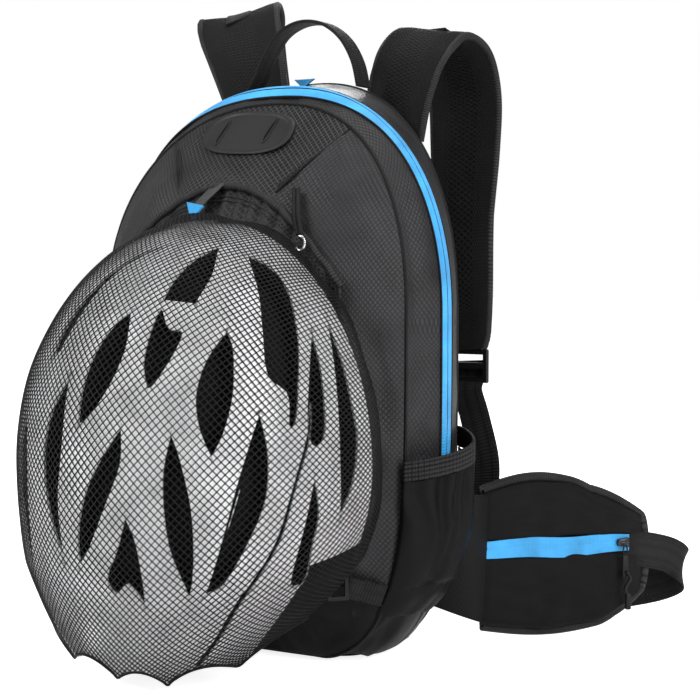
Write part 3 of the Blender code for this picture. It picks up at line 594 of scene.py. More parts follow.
def turnAt(share):
    target = share % 1.0 * perimeter
    low, high = 0, len(arcLengths) - 1
    while high - low > 1:
        middle = (low + high) // 2
        low, high = (middle, high) if arcLengths[middle] <= target else (low, middle)
    part = (target - arcLengths[low]) / max(1e-9, arcLengths[high] - arcLengths[low])
    return 2 * math.pi * (low + part) / (len(arcLengths) - 1)


def clothRipple(u, v, point):
    # slack cloth: long soft folds, more of them low on the bag
    low = ease((0.33 - point.z) / 0.25)
    slanted = (point.x * 1.6 + point.z * 0.9, point.y * 1.6, point.z * 0.55 - point.x * 0.3)
    folds = wobble(slanted, 24, 3.1) * (0.0020 + 0.0040 * low)
    crease = 1 - min(1.0, 3.2 * abs(wobble(slanted, 15, 11.0)))
    raised = folds + 0.0028 * crease ** 2 * (0.2 + 0.8 * low) + wobble(point, 60, 7.7) * 0.0010 * (0.4 + low)
    return min(raised - 0.0008 - 0.0024 * low, 0.0014)


def bootZ(x):
    # height of the seam above the smooth lower boot, dipping towards the bag's sides
    return 0.062 - 0.036 * ease((abs(x) - 0.098) / 0.04)


def buildBag():
    angle = math.radians(bag["pipingAngle"])
    stripDepth = 0.043

    def sidePlace(u, v):
        return bagPoint(turnAt(u), angle * v)

    def fade(u, v, point):
        return clothRipple(u, v, point) * ease((v - 0.26) / 0.35) * ease((1 - v) / 0.2)

    def backFade(u, v, point):
        return clothRipple(u, v, point) * 0.5 * math.sin(math.pi * v) ** 2

    sides = mappedSheet(300, 18, sidePlace, (perimeter, stripDepth), closed=True, lift=fade, core=bag["core"])
    for face in sides.faces:
        middle = face.calc_center_median()
        face.material_index = 1 if middle.z < bootZ(middle.x) else 0
    makePiece("bagSides", sides, (sideCloth, baseCloth), "pack", ("front_shell",), wall=0.0012)

    def frontPlace(u, v):
        return bagPoint(turnAt(u), angle + (math.radians(89.5) - angle) * v)

    def frontUv(point):
        stretch = 1 + 0.45 * (point.x / bag["halfWidth"]) ** 2
        return point.x * stretch, point.z

    def frontFade(u, v, point):
        return clothRipple(u, v, point) * ease(v * 6)

    front = mappedSheet(300, 60, frontPlace, closed=True, lift=frontFade, core=bag["core"], uvOf=frontUv)
    for face in front.faces:
        middle = face.calc_center_median()
        seam = 0.341 + (abs(middle.x + 0.004) - 0.043) * 1.30
        face.material_index = 1 if middle.z > max(seam, 0.332) else 2 if middle.z < bootZ(middle.x) else 0
    makePiece("bagFront", front, (sideCloth, yokeCloth, baseCloth), "pack", wall=0.0012)

    ring = [tuple(bagPoint(turnAt(k / 120), angle)) for k in range(120)]
    makePiece("piping", tubeMesh(ring, 0.0013, 360, 8, closed=True), pipingBlack, "pack")

    def gussetPlace(u, v):
        y = bag["zipY"] + 0.001 + (bag["backY"] - bag["zipY"] - 0.001) * v
        x, z = outline(turnAt(u), y)
        return Vector((x, y, max(z, bag["floor"])))

    gusset = mappedSheet(300, 16, gussetPlace, (perimeter, 0.055), closed=True, lift=backFade,
                         core=bag["core"])
    makePiece("rearGusset", gusset, sideCloth, "pack", ("rear_gusset",), wall=0.0012)
    boot = []
    for k in range(41):
        x = 0.1425 * math.sin(math.pi * (k / 40 - 0.5))
        width = sideX(bag["zipY"], bootZ(x)) * 0.998
        x = max(-width, min(width, x))
        boot.append(tuple(onFront(x, bootZ(x), 0.0010)))
    makePiece("bootSeam", tubeMesh(boot, 0.0011, 240, 6), pipingBlack, "pack")
    for side in (1, -1):
        seam = [(side * (0.043 + 0.036 * k / 8) - 0.004, 0, 0.341 + 0.047 * k / 8) for k in range(9)]
        spots = [tuple(onFront(x, z, 0.0004)) for x, _, z in seam]
        makePiece(f"yokeSeam{side + 1}", tubeMesh(spots, 0.0010, 40, 6), pipingBlack, "pack")
        for k, shift in enumerate((0.0030, 0.0058)):
            row = [(*onFront(x, z + shift, 0.0003), 0, 1, 0, 0) for x, _, z in seam]
            makePiece(f"yokeStitch{side + 1}_{k}", stitchMesh(row), threadGrey, "pack")


def zipSpot(turn, ahead, lift=0.0):
    # a point ahead of the zip line along the front shell, or behind it on the gusset
    if ahead <= 0:
        y = bag["zipY"] - ahead
        x, z = outline(turn, y)
        return Vector((x, y, z)) + Vector((x, 0, z - bag["widestZ"])).normalized() * lift
    start = bagPoint(turn, 0.0)
    low, high = 0.0, 1.0
    for _ in range(16):
        middle = (low + high) / 2
        low, high = (middle, high) if (bagPoint(turn, middle) - start).length < ahead else (low, middle)
    spot = bagPoint(turn, low)
    inward = bagPoint(turn, low + 0.01) - bagPoint(turn, max(0.0, low - 0.01))
    round_ = bagPoint(turn + 0.01, low) - bagPoint(turn - 0.01, low)
    out = inward.cross(round_).normalized()
    if out.dot(spot - Vector(bag["core"])) < 0:
        out = -out
    return spot + out * lift


def buildMainZip():
    zipEdge = {"front": 0.0108, "rear": 0.0034, "slit": 0.0026, "raise": 0.0007, "start": -9.0, "stop": 189.0}

    def turnOf(share):
        return math.radians(zipEdge["start"] + (zipEdge["stop"] - zipEdge["start"]) * share)

    def place(u, v):
        ahead = zipEdge["front"] - (zipEdge["front"] + zipEdge["rear"]) * u
        groove = math.exp(-((ahead - zipEdge["slit"]) / 0.0007) ** 2)
        return zipSpot(turnOf(v), ahead, zipEdge["raise"] - 0.0010 * groove + 0.0005 * math.sin(math.pi * u))

    length = perimeter * 0.52
    width = zipEdge["front"] + zipEdge["rear"]
    tape = mappedSheet(34, 260, place, (width, length), core=bag["core"])
    uKey = tape.verts.layers.float["u"]
    # faces along the slit take the second material: near-black for the coil, and painted shade in the groove
    for face in tape.faces:
        ahead = zipEdge["front"] - width * sum(vert[uKey] for vert in face.verts) / len(face.verts)
        face.material_index = 1 if abs(ahead - zipEdge["slit"]) < 0.00055 else 0
    uvKey = tape.loops.layers.uv.active
    for face in tape.faces:
        for loop in face.loops:
            loop[uvKey].uv = (loop[uvKey].uv[1], loop[uvKey].uv[0])
    makePiece("mainZipTape", tape, (zipBlue, slotShadeAndCoil), "pack", ("main_zip_tape",), wall=0.0006)
    for k, ahead in enumerate((zipEdge["front"] + 0.0004, -zipEdge["rear"] - 0.0004)):
        welt = [tuple(zipSpot(turnOf(j / 60), ahead, 0.0004)) for j in range(61)]
        makePiece(f"zipWelt{k}", tubeMesh(welt, 0.0009, 240, 6), pipingBlack, "pack")


buildBag()
buildMainZip()
print("bag and zip made")

# Front pocket, light patch and pull tab


def mouthZ(x):
    return 0.345 - 7.2 * x * x


def buildFrontPocket():
    pocket = {"base": 0.045, "belly": 0.0060, "off": 0.0034}

    def half(v):
        return 0.074 + 0.026 * math.sin(math.pi / 2 * min(1.0, v * 1.6))

    def spot(u, v):
        x = half(v) * (2 * u - 1)
        z = pocket["base"] + (mouthZ(x) - pocket["base"]) * v
        belly = (pocket["off"] + pocket["belly"] * math.sin(math.pi * v ** 0.7)
                 * math.cos(x / half(v) * math.pi / 2))
        pleat = 0.0022 * ease((v - 0.72) / 0.28) * abs(math.sin(u * 46 + 2 * wobble((u, v, 0), 4)))
        return Vector((x, frontY(x, z) - belly - pleat, z))

    bm = mappedSheet(120, 70, spot, core=bag["core"], uvOf=lambda point: (point.x, point.z))
    makePiece("frontPocket", bm, pocketCloth, "pack", ("front_pocket",), wall=0.0012)
    rim = [tuple(spot(k / 40, 1.0) + Vector((0, -0.0008, 0.0008))) for k in range(41)]
    makePiece("pocketMouthBinding", tubeMesh(rim, 0.0026, 160, 8), bindingTape, "pack")
    for k, drop in enumerate((0.0065, 0.0095)):
        row = []
        for j in range(33):
            p = spot(j / 32, 1.0 - drop / 0.30)
            row.append((p.x, p.y - 0.0012, p.z, 0, 1, 0, 0))
        makePiece(f"mouthStitch{k}", stitchMesh(row), threadGrey, "pack")


def buildLightPatch():
    patch = {"x": -0.0085, "z": 0.3880, "half": 0.0410, "tall": 0.0170, "thick": 0.0022}

    def spot(u, v):
        turn = 2 * math.pi * u
        reach = min(1.0, v / 0.9)
        x = patch["x"] + patch["half"] * reach * power(math.cos(turn), 0.78)
        z = patch["z"] + patch["tall"] * reach * power(math.sin(turn), 0.78) - 0.06 * (x - patch["x"])
        bead = 0.0012 * math.exp(-((reach - 0.93) / 0.05) ** 2)
        high = patch["thick"] + bead - 0.0004 * reach ** 2
        if v > 0.9:
            high *= 1 - (v - 0.9) / 0.1 * 1.2
        return onFront(x, z, high)

    bm = mappedSheet(96, 30, spot, closed=True, core=(0, 0.1, patch["z"]),
                     uvOf=lambda point: (point.x, point.z))
    makePiece("lightPatch", bm, patchRubber, "pack", ("light_patch",), wall=0.0010)
    for k, x in enumerate((-0.0310, 0.0120)):
        def slotSpot(u, v, x=x):
            turn = 2 * math.pi * u
            across = 0.0014 * v * math.cos(turn)
            up = 0.0078 * v * power(math.sin(turn), 0.8)
            sx = x + across + up * 0.10
            return onFront(sx, patch["z"] + 0.001 + up, patch["thick"] + 0.0002)

        # each slot is a near-black sheet on the patch, painted shade inside the opening
        hole = mappedSheet(24, 4, slotSpot, closed=True, core=(0, 0.1, patch["z"]))
        makePiece(f"patchSlot{k}", hole, slotShadeAndCoil, "pack", wall=0.0004)
        lip = [tuple(slotSpot(j / 24, 1.25) + Vector((0, -0.0001, 0))) for j in range(24)]
        makePiece(f"patchSlotLip{k}", tubeMesh(lip, 0.0006, 48, 6, closed=True), patchRubber, "pack")


def buildPullTab():
    tab = []
    for x, z, lift, width in ((-0.0070, 0.3475, 0.0070, 0.0130), (-0.0086, 0.3420, 0.0105, 0.0130),
                              (-0.0112, 0.3365, 0.0130, 0.0115), (-0.0138, 0.3310, 0.0150, 0.0100)):
        tab.append((x, frontY(x, z) - lift, z, width, 1, 0, 0.25))
    makePiece("pullTab", strapMesh(tab, 0.0012, 30, 14), tabGrey, "pack", ("net_pull_tab",))

    def corner(u, v):
        x = -0.0150 + (u - 0.5) * 0.0165 * (1 - 0.80 * v)
        z = 0.3345 - 0.0095 * v - 0.003 * u
        return Vector((x, frontY(x, z) - 0.0172, z))

    bm = mappedSheet(14, 10, corner, (0.015, 0.008), core=(0, 0.1, 0.33))
    makePiece("pullTabTip", bm, pullBlue, "pack", wall=0.0016)


def buildDrawCord():
    # doubled elastic that hooks the net to the pocket's right corner
    for k, side in enumerate((-0.0016, 0.0016)):
        route = [(0.0560 + side, frontY(0.056, 0.343) - 0.0040, 0.3430),
                 (0.0600 + side, frontY(0.060, 0.334) - 0.0060, 0.3340),
                 (0.0650 + side, frontY(0.065, 0.322) - 0.0085, 0.3220),
                 (0.0700 + side, frontY(0.070, 0.310) - 0.0085, 0.3100)]
        makePiece(f"drawCord{k}", tubeMesh(route, 0.0017, 60, 8), webbingWeave, "pack")
    at = Vector((0.0720, frontY(0.072, 0.304) - 0.0090, 0.3040))
    bend = [at + Vector((0.0040 * math.cos(a), -0.0010, 0.0050 * math.sin(a))) for a in
            (math.radians(d) for d in (95, 60, 25, -10, -45, -80, -110, -140))]
    makePiece("cordHook", tubeMesh([tuple(p) for p in bend], 0.0010, 40, 8), brightMetal, "pack")


def buildHookTabs():
    # short webbing that holds each plastic ring, folded back on itself
    for side, word in ((1, "Right"), (-1, "Left")):
        tab = []
        for x, z, lift in ((0.1190, 0.0540, 0.0030), (0.1140, 0.0565, 0.0034), (0.1080, 0.0600, 0.0044),
                           (0.1030, 0.0625, 0.0062), (0.1020, 0.0630, 0.0080), (0.1045, 0.0618, 0.0088),
                           (0.1100, 0.0590, 0.0064)):
            tab.append((side * x, frontY(x, z) - lift, z, 0.016, side * 0.3, 0, 1))
        makePiece("hookTab" + word, strapMesh(tab, 0.0014, 50, 14), webbingWeave, "pack",
                  ("hook_tab_" + word.lower(),))


buildFrontPocket()
buildHookTabs()
buildLightPatch()
buildPullTab()
buildDrawCord()
print("front made")

# Side pockets

sidePocket = {"frontY": -0.056, "backY": 0.044, "baseZ": 0.036, "belly": 0.019, "hemShare": 0.880}


def pocketHemZ(y):
    return 0.150 + 0.017 * (sidePocket["frontY"] - y) / (sidePocket["frontY"] - sidePocket["backY"])


def pocketPoint(side, y, up):
    share = (y - sidePocket["frontY"]) / (sidePocket["backY"] - sidePocket["frontY"])
    z = sidePocket["baseZ"] + (pocketHemZ(y) - sidePocket["baseZ"]) * up
    fullness = math.sin(math.pi * share) ** 0.7 if 0 < share < 1 else 0.0
    bulge = sidePocket["belly"] * fullness * min(1.0, 1.7 * max(0, up) ** 0.6) * (1 - 0.18 * up)
    return Vector((side * (sideX(y, max(z, 0.01)) + 0.0018 + bulge), y, z))


def buildSidePockets():
    for side, word in ((1, "Right"), (-1, "Left")):
        low = word.lower()

        def spot(u, v, side=side):
            y = sidePocket["frontY"] + (sidePocket["backY"] - sidePocket["frontY"]) * u
            return pocketPoint(side, y, sidePocket["hemShare"] * v)

        def folds(u, v, point):
            gather = math.sin(u * 52 + 4 * wobble((u * 2, v * 1.5, 0), 2.0, 4.0))
            slack = wobble((u * 3.0, v * 1.3, 1.0), 2.6, 9.0)
            fold = math.exp(-((v - 0.16 - 0.05 * math.sin(u * 5)) / 0.035) ** 2)
            pull = 0.0015 * gather * ease((v - 0.2) / 0.8) + 0.0042 * slack * math.sin(math.pi * u)
            return pull - 0.0035 * fold * math.sin(math.pi * u)

        bm = mappedSheet(90, 60, spot, (0.09, 0.1), lift=folds, core=(0, 0, 0.1))
        makePiece("sidePocket" + word, bm, stretchCloth, "pack", ("side_pocket_" + low,),
                  wall=0.0010)

        def hemSpot(u, v, side=side):
            y = sidePocket["frontY"] + (sidePocket["backY"] - sidePocket["frontY"]) * u
            return pocketPoint(side, y, sidePocket["hemShare"] + (1 - sidePocket["hemShare"]) * v)

        def hemRibs(u, v, point):
            return 0.0008 + 0.0006 * abs(math.sin(v * math.pi * 4.5)) + 0.00025 * math.sin(u * 190)

        bm = mappedSheet(150, 30, hemSpot, (0.09, 0.0145), lift=hemRibs, core=(0, 0, 0.1))
        makePiece("pocketHem" + word, bm, hemElastic, "pack", ("pocket_hem_" + low,), wall=0.0020)


buildSidePockets()
print("side pockets made")

# Straps and handle

straps = {
    "right": [(0.062, 0.0605, 0.388, 0.050, 1, 0.0, 0.0), (0.067, 0.0610, 0.420, 0.054, 1, 0.0, -0.1),
              (0.073, 0.0720, 0.453, 0.058, 1, 0.0, -0.15), (0.080, 0.0940, 0.470, 0.060, 1, 0.0, -0.15),
              (0.087, 0.1180, 0.458, 0.061, 1, 0.0, -0.1), (0.0895, 0.1310, 0.425, 0.061, 1, 0.0, 0.0),
              (0.088, 0.1350, 0.380, 0.058, 1, 0.0, 0.0), (0.088, 0.1320, 0.325, 0.051, 1, 0.0, 0.0),
              (0.094, 0.1240, 0.262, 0.045, 1, 0.0, 0.0), (0.0995, 0.1190, 0.232, 0.036, 1, 0.0, 0.0),
              (0.1005, 0.1180, 0.2205, 0.026, 1, 0.0, 0.0)],
    "left": [(-0.056, 0.0605, 0.388, 0.050, 1, 0.0, 0.0), (-0.064, 0.0610, 0.420, 0.056, 1, 0.0, 0.1),
             (-0.082, 0.0730, 0.460, 0.066, 1, 0.0, 0.15), (-0.102, 0.0920, 0.490, 0.072, 1, 0.0, 0.15),
             (-0.114, 0.1120, 0.497, 0.072, 1, 0.0, 0.15), (-0.118, 0.1310, 0.470, 0.068, 1, 0.0, 0.1),
             (-0.112, 0.1380, 0.420, 0.062, 1, 0.0, 0.0), (-0.102, 0.1350, 0.350, 0.058, 1, 0.0, 0.0),
             (-0.099, 0.1260, 0.272, 0.047, 1, 0.0, 0.0), (-0.1000, 0.1190, 0.234, 0.036, 1, 0.0, 0.0),
             (-0.1005, 0.1180, 0.2205, 0.026, 1, 0.0, 0.0)],
}
lowerWebbing = [(0.1008, 0.1208, 0.2120, 0.025, 1, 0.0, 0.0), (0.1012, 0.1212, 0.2050, 0.025, 1, 0.0, 0.0),
                (0.1020, 0.1165, 0.1960, 0.025, 1, 0.0, 0.0), (0.1030, 0.1115, 0.1870, 0.025, 1, 0.0, 0.0),
                (0.1120, 0.1070, 0.1650, 0.025, 1, 0.1, 0.2),
                (0.1250, 0.0970, 0.1300, 0.025, 1, 0.1, 0.2), (0.1270, 0.0840, 0.1000, 0.025, 1, 0.0, 0.1),
                (0.1190, 0.0690, 0.0720, 0.025, 1, 0.0, 0.0), (0.1120, 0.0590, 0.0480, 0.025, 1, 0.0, 0.0)]


def mirrored(points, side):
    return [(side * p[0], *p[1:4], side * p[4], *p[5:]) for p in points]


def edgePath(path, side, steps, inset=0.0, out=0.0, start=0.0, stop=1.0):
    # points along one edge of a strap
    def read(place):
        return smoothRead(path, place)

    spots = []
    for k in range(steps + 1):
        share = start + (stop - start) * k / steps
        centre, _, across, outward = frameAt(read, share)
        spots.append(tuple(centre + across * side * (read(share)[3] / 2 - inset) + outward * out))
    return spots


def buildStraps():
    for word, path in straps.items():
        title = word.title()

        def dimple(u, v, point):
            return 0.0005 * wobble(point, 60, 2.0)

        pad = strapMesh(path, 0.0088, 110, 36, 4.0, lift=dimple)
        padPiece = makePiece("shoulderStrap" + title, pad, strapMeshCloth, "pack",
                             ("shoulder_strap_" + word,))
        for k, side in enumerate((1, -1)):
            edge = edgePath(path, side, 50, 0.0012)
            bm = tubeMesh(edge, 0.0032, 200, 8)
            makePiece(f"strapBinding{title}{k}", bm, bindingTape, "pack")
        rail = [(p[0], p[1], p[2], 0.022, *p[4:]) for p in path[3:]]
        bm = strapMesh(rail, 0.0016, 80, 14, raised=-0.0056)
        makePiece("strapRail" + title, bm, webbingWeave, "pack")
    for side, word in ((1, "right"), (-1, "left")):
        bm = strapMesh(mirrored(lowerWebbing, side), 0.0018, 80, 14)
        makePiece("strapWebbing" + word.title(), bm, webbingWeave, "pack",
                  ("strap_webbing_" + word,))


def buildHandle():
    handle = {"y": 0.036, "width": 0.020, "arch": (
        (-0.0530, 0.0052), (-0.0450, 0.0170), (-0.0360, 0.0340), (-0.0230, 0.0500), (-0.0040, 0.0575),
        (0.0160, 0.0550), (0.0330, 0.0430), (0.0440, 0.0250), (0.0490, 0.0052))}
    foot = outline(math.acos(0.32), handle["y"])[1]
    path = [(x, handle["y"], foot + z, handle["width"], 0.0, 1, 0.0) for x, z in handle["arch"]]
    bm = strapMesh(path, 0.0028, 120, 18)
    makePiece("grabHandle", bm, webbingWeave, "grab_handle", ("grab_handle",))


def buildHosePort():
    base = outline(math.pi / 2, 0.049)[1] + 0.0008

    def corner(u, v):
        return Vector((-0.0140 + (u - 0.4) * 0.019 * v, 0.0488 + 0.0004 * math.sin(u * 3),
                       base - 0.0030 + 0.0070 * v))

    bm = mappedSheet(12, 10, corner, (0.019, 0.007), core=(0, 0.2, 0.4))
    makePiece("hosePortTab", bm, pullBlue, "pack", ("hose_port_tab",), wall=0.0014)


buildStraps()
buildHandle()
buildHosePort()
print("straps made")

# Hip belt

wing = {"root": (0.1375, 0.0590), "angle": math.radians(47.3), "length": 0.139, "pad": 0.0090, "zipZ": 0.072}
webbingTail = [(0.2255, 0.1445, 0.0650, 0.0260, 0, 0, 1), (0.2330, 0.1560, 0.0650, 0.0280, 0, 0, 1),
               (0.2480, 0.1800, 0.0580, 0.0280, 0.1, 0.1, 1),
               (0.2540, 0.1930, 0.0480, 0.0280, 0.1, 0, 1), (0.2460, 0.2020, 0.0370, 0.0280, 0.1, 0, 1),
               (0.2250, 0.2030, 0.0270, 0.0280, 0, 0, 1), (0.1900, 0.1960, 0.0190, 0.0280, 0, 0, 1),
               (0.1500, 0.1880, 0.0155, 0.0280, 0, 0, 1), (0.1100, 0.1830, 0.0148, 0.0280, 0, 0, 1),
               (0.0760, 0.1810, 0.0148, 0.0280, 0, 0, 1)]


def wingPlace(side, along, up, out):
    c, s = math.cos(wing["angle"]), math.sin(wing["angle"])
    x = wing["root"][0] + along * c + out * s
    return Vector((side * x, wing["root"][1] + along * s - out * c, up))


def wingSpan(share):
    topDrop = max(0.0, (share - 0.55) / 0.45) ** 1.8
    baseRise = max(0.0, (share - 0.72) / 0.28) ** 1.8
    top = 0.1170 + 0.009 * math.sin(math.pi * min(1, share * 1.5)) - 0.024 * topDrop
    base = 0.0110 - 0.0065 * math.sin(math.pi * min(1, share * 1.2)) + 0.020 * baseRise
    return base, top


def wingEdge(side, steps=60):
    # the wing's outline from its root's top, round the tip, to its root's base
    spots = []
    for k in range(steps + 1):
        share = k / steps
        spots.append(tuple(wingPlace(side, 0.003 + (wing["length"] - 0.006) * share,
                                     wingSpan(share)[1] - 0.001, 0)))
    base, top = wingSpan(1.0)
    for k in range(1, 8):
        turn = math.pi / 2 - math.pi * k / 8
        z = (base + top) / 2 + (top - base) / 2 * math.sin(turn) * 0.97
        spots.append(tuple(wingPlace(side, wing["length"] - 0.003 + 0.0055 * math.cos(turn), z, 0)))
    for k in range(steps + 1):
        share = 1 - k / steps
        spots.append(tuple(wingPlace(side, 0.003 + (wing["length"] - 0.006) * share,
                                     wingSpan(share)[0] + 0.001, 0)))
    return spots


def buildWings():
    for side, word in ((1, "right"), (-1, "left")):
        title = word.title()
        body = "belt_wing_" + word

        def padSpot(u, v, side=side):
            low, high = wingSpan(v)
            turn = 2 * math.pi * u
            z = (low + high) / 2 + (high - low) / 2 * power(math.cos(turn), 0.45)
            thick = wing["pad"] / 2 * (1 - 0.25 * ease((v - 0.8) / 0.2))
            return wingPlace(side, 0.002 + (wing["length"] - 0.002) * v, z,
                             thick * power(math.sin(turn), 0.6))

        def quilt(u, v, point):
            inner = ease((0.5 - abs(u - 0.75)) * 8) if u > 0.5 else 0.0
            channel = abs(math.sin(v * math.pi * 5))
            return -0.0012 * inner * (1 - channel) ** 3

        bm = mappedSheet(56, 70, padSpot, (0.22, wing["length"]), closed=True, ends=True, lift=quilt)
        pad = makePiece("beltWing" + title, bm, backMeshCloth, body, (body,))
        makePiece("wingBinding" + title, tubeMesh(wingEdge(side), 0.0042, 360, 10), bindingTape, body)
        face = wing["pad"] / 2
        for part, lowZ, highZ in (("lower", None, wing["zipZ"] - 0.0056),
                                  ("upper", wing["zipZ"] + 0.0056, None)):
            def pocketSpot(u, v, side=side, lowZ=lowZ, highZ=highZ):
                along = -0.001 + 0.137 * u
                low, high = wingSpan(along / wing["length"])
                base = low + 0.003 if lowZ is None else lowZ
                top = high - 0.003 if highZ is None else highZ
                edge = min(1.0, 12 * min(v, 1 - v)) ** 0.5 * min(1.0, 14 * min(u, 1 - u) + 0.2) ** 0.5
                crown = 0.0012 + 0.0036 * edge
                crown *= 1 - 0.6 * ease((u - 0.86) / 0.14)
                return wingPlace(side, along, base + (top - base) * v, face + crown - 0.0006)

            def slack(u, v, point):
                creases = math.sin(v * 13 + 5 * wobble((u * 1.5, v, 0.3), 2.0, 8.0)) * ease((1 - u) / 0.7)
                return ((0.0017 * wobble((u * 3, v * 2.0, 0), 2.4, 5.0) + 0.0005 * creases)
                        * math.sin(math.pi * u) ** 0.5)

            bm = mappedSheet(80, 40, pocketSpot, (0.126, 0.06), lift=slack,
                             core=wingPlace(side, 0.07, 0.06, -0.2))
            makePiece(f"beltPocket{part.title()}{title}", bm, stretchCloth, body,
                      (f"belt_pocket_{part}_{word}",), wall=0.0010)

        def tapeSpot(u, v, side=side):
            up = (v - 0.54) * (0.0128 + 0.0030 * math.sin(math.pi * u))
            groove = math.exp(-((up - 0.0004) / 0.0006) ** 2)
            wave = 0.0011 * math.sin(u * 9 - 0.6) * math.sin(math.pi * u)
            return wingPlace(side, 0.0005 + 0.1235 * u, wing["zipZ"] + up + wave,
                             face + 0.0036 - 0.0004 * groove)

        bm = mappedSheet(70, 24, tapeSpot, (0.116, 0.0140), core=wingPlace(side, 0.07, 0.06, -0.2))
        makePiece("beltZipTape" + title, bm, (zipBlue, slotShadeAndCoil), body,
                  ("belt_zip_tape_" + word,),
                  wall=0.0006)

        def yokeSpot(u, v, side=side):
            z = 0.012 + 0.102 * v
            nearZ = 0.030 + 0.086 * v
            near = Vector((side * (sideX(0.030, nearZ) + 0.0015), 0.030, nearZ))
            far = wingPlace(side, 0.010, z, 0.0040)
            bow = 0.004 * math.sin(math.pi * u)
            return near.lerp(far, u) + Vector((side * bow, -bow, 0))

        bm = mappedSheet(30, 40, yokeSpot, (0.04, 0.1), core=(0, 0, 0.06))
        yoke = makePiece("wingYoke" + title, bm, baseCloth, None, wall=0.0020)
        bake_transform(yoke, "pack", body, start=tuple(yokeSpot(0.1, 0.5)), end=tuple(yokeSpot(0.95, 0.5)))
        tail = strapMesh(mirrored(webbingTail, side), 0.0018, 160, 14)
        makePiece("beltWebbing" + title, tail, webbingWeave, body, ("belt_webbing_" + word,))


buildWings()
print("belt made")

# Zip sliders and pullers


def localFrame(along, out):
    across = out.cross(along)
    return Matrix((along, across, out)).transposed()


def sliderMesh(size, centre, turn):
    # body tapers towards its tail and carries a low bridge
    bm = bmesh.new()
    bmesh.ops.create_cube(bm, size=1.0)
    bmesh.ops.scale(bm, vec=size, verts=bm.verts[:])
    tail = [v for v in bm.verts if v.co.x < 0]
    bmesh.ops.scale(bm, vec=(1, 0.62, 1), verts=tail)
    bmesh.ops.bevel(bm, geom=bm.edges[:], offset=size[2] * 0.2, segments=2, profile=0.5, affect="EDGES",
                    material=-1)
    bridge = bmesh.new()
    bmesh.ops.create_cube(bridge, size=1.0)
    bmesh.ops.scale(bridge, vec=(size[0] * 0.55, size[1] * 0.22, size[2] * 0.45), verts=bridge.verts[:])
    bmesh.ops.bevel(bridge, geom=bridge.edges[:], offset=size[1] * 0.06, segments=2, profile=0.5,
                    affect="EDGES", material=-1)
    bmesh.ops.translate(bridge, vec=(0, 0, size[2] * 0.6), verts=bridge.verts[:])
    whole = joinMeshes(bm, bridge)
    bmesh.ops.rotate(whole, matrix=turn, verts=whole.verts[:], cent=(0, 0, 0))
    bmesh.ops.translate(whole, vec=centre, verts=whole.verts[:])
    return whole


def pullerMesh(width, length, thick, top, turn):
    # metal link above a moulded grip, hanging down from top
    ring = [(0.35 * width * math.cos(a), 0, -0.16 * length + 0.14 * length * math.sin(a)) for a in
            (2 * math.pi * k / 12 for k in range(12))]
    link = tubeMesh(ring, thick * 0.32, 36, 6, closed=True)
    grip = blockMesh((width, thick, length * 0.68), (0, 0, -length * 0.66), bevel=thick * 0.3)
    notch = [blockMesh((width * 0.8, thick * 1.15, length * 0.03), (0, 0, -length * (0.55 + 0.08 * k)),
                       bevel=thick * 0.1)
             for k in range(4)]
    whole = joinMeshes(link, grip, *notch)
    bmesh.ops.rotate(whole, matrix=turn, verts=whole.verts[:], cent=(0, 0, 0))
    bmesh.ops.translate(whole, vec=top, verts=whole.verts[:])
    return whole


def buildSliders():
    for word in ("upper", "lower"):
        node = "main_zip_slider_" + word
        low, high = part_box(node)
        along = Vector((0, 0, 1 if word == "upper" else -1))
        turn = localFrame(along, Vector((-1, 0, 0)))
        bm = sliderMesh((0.0108, 0.0084, 0.0028), (low + high) / 2, turn)
        makePiece("mainZipSlider" + word.title(), bm, darkMetal, node, (node,))
        pull = "main_zip_puller_" + word
        low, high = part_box(pull)
        top = Vector(((low.x + high.x) / 2, (low.y + high.y) / 2, high.z))
        bm = pullerMesh(0.0052, high.z - low.z, 0.0017, top, Matrix.Rotation(math.pi / 2, 3, "Z"))
        makePiece("mainZipPuller" + word.title(), bm, darkMetal, pull, (pull,))
    for side, word in ((1, "right"), (-1, "left")):
        node = "belt_zip_slider_" + word
        low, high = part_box(node)
        out = wingPlace(side, 0, 0, 1) - wingPlace(side, 0, 0, 0)
        along = wingPlace(side, 1, 0, 0) - wingPlace(side, 0, 0, 0)
        bm = sliderMesh((0.0098, 0.0078, 0.0030), (low + high) / 2, localFrame(along, out))
        makePiece("beltZipSlider" + word.title(), bm, darkMetal, node, (node,))
        pull = "belt_zip_puller_" + word
        low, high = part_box(pull)
        top = Vector(((low.x + high.x) / 2, (low.y + high.y) / 2, high.z))
        turn = Matrix.Rotation(math.atan2(along.y, along.x), 3, "Z")
        bm = pullerMesh(0.0050, high.z - low.z, 0.0019, top, turn)
        makePiece("beltZipPuller" + word.title(), bm, blackPlastic, pull, (pull,))
        foot = Vector(((low.x + high.x) / 2, (low.y + high.y) / 2, low.z)) + (out * 0.0022)
        loop = []
        for k in range(9):
            share = k / 8
            swing = along * (0.0024 * math.sin(share * 2 * math.pi) + 0.0016 * share)
            loop.append(tuple(foot + swing + out * 0.001 * math.sin(math.pi * share)
                              - Vector((0, 0, 0.018 * share - 0.005))))
        grip = blockMesh((0.0046, 0.0034, 0.0130), foot + along * 0.0016 - Vector((0, 0, 0.0185)), turn,
                         0.0012, 3)
        makePiece("beltPullCord" + word.title(), joinMeshes(tubeMesh(loop, 0.0013, 60, 8), grip),
                  blackPlastic, pull)


buildSliders()
print("sliders made")

# Wearer's side


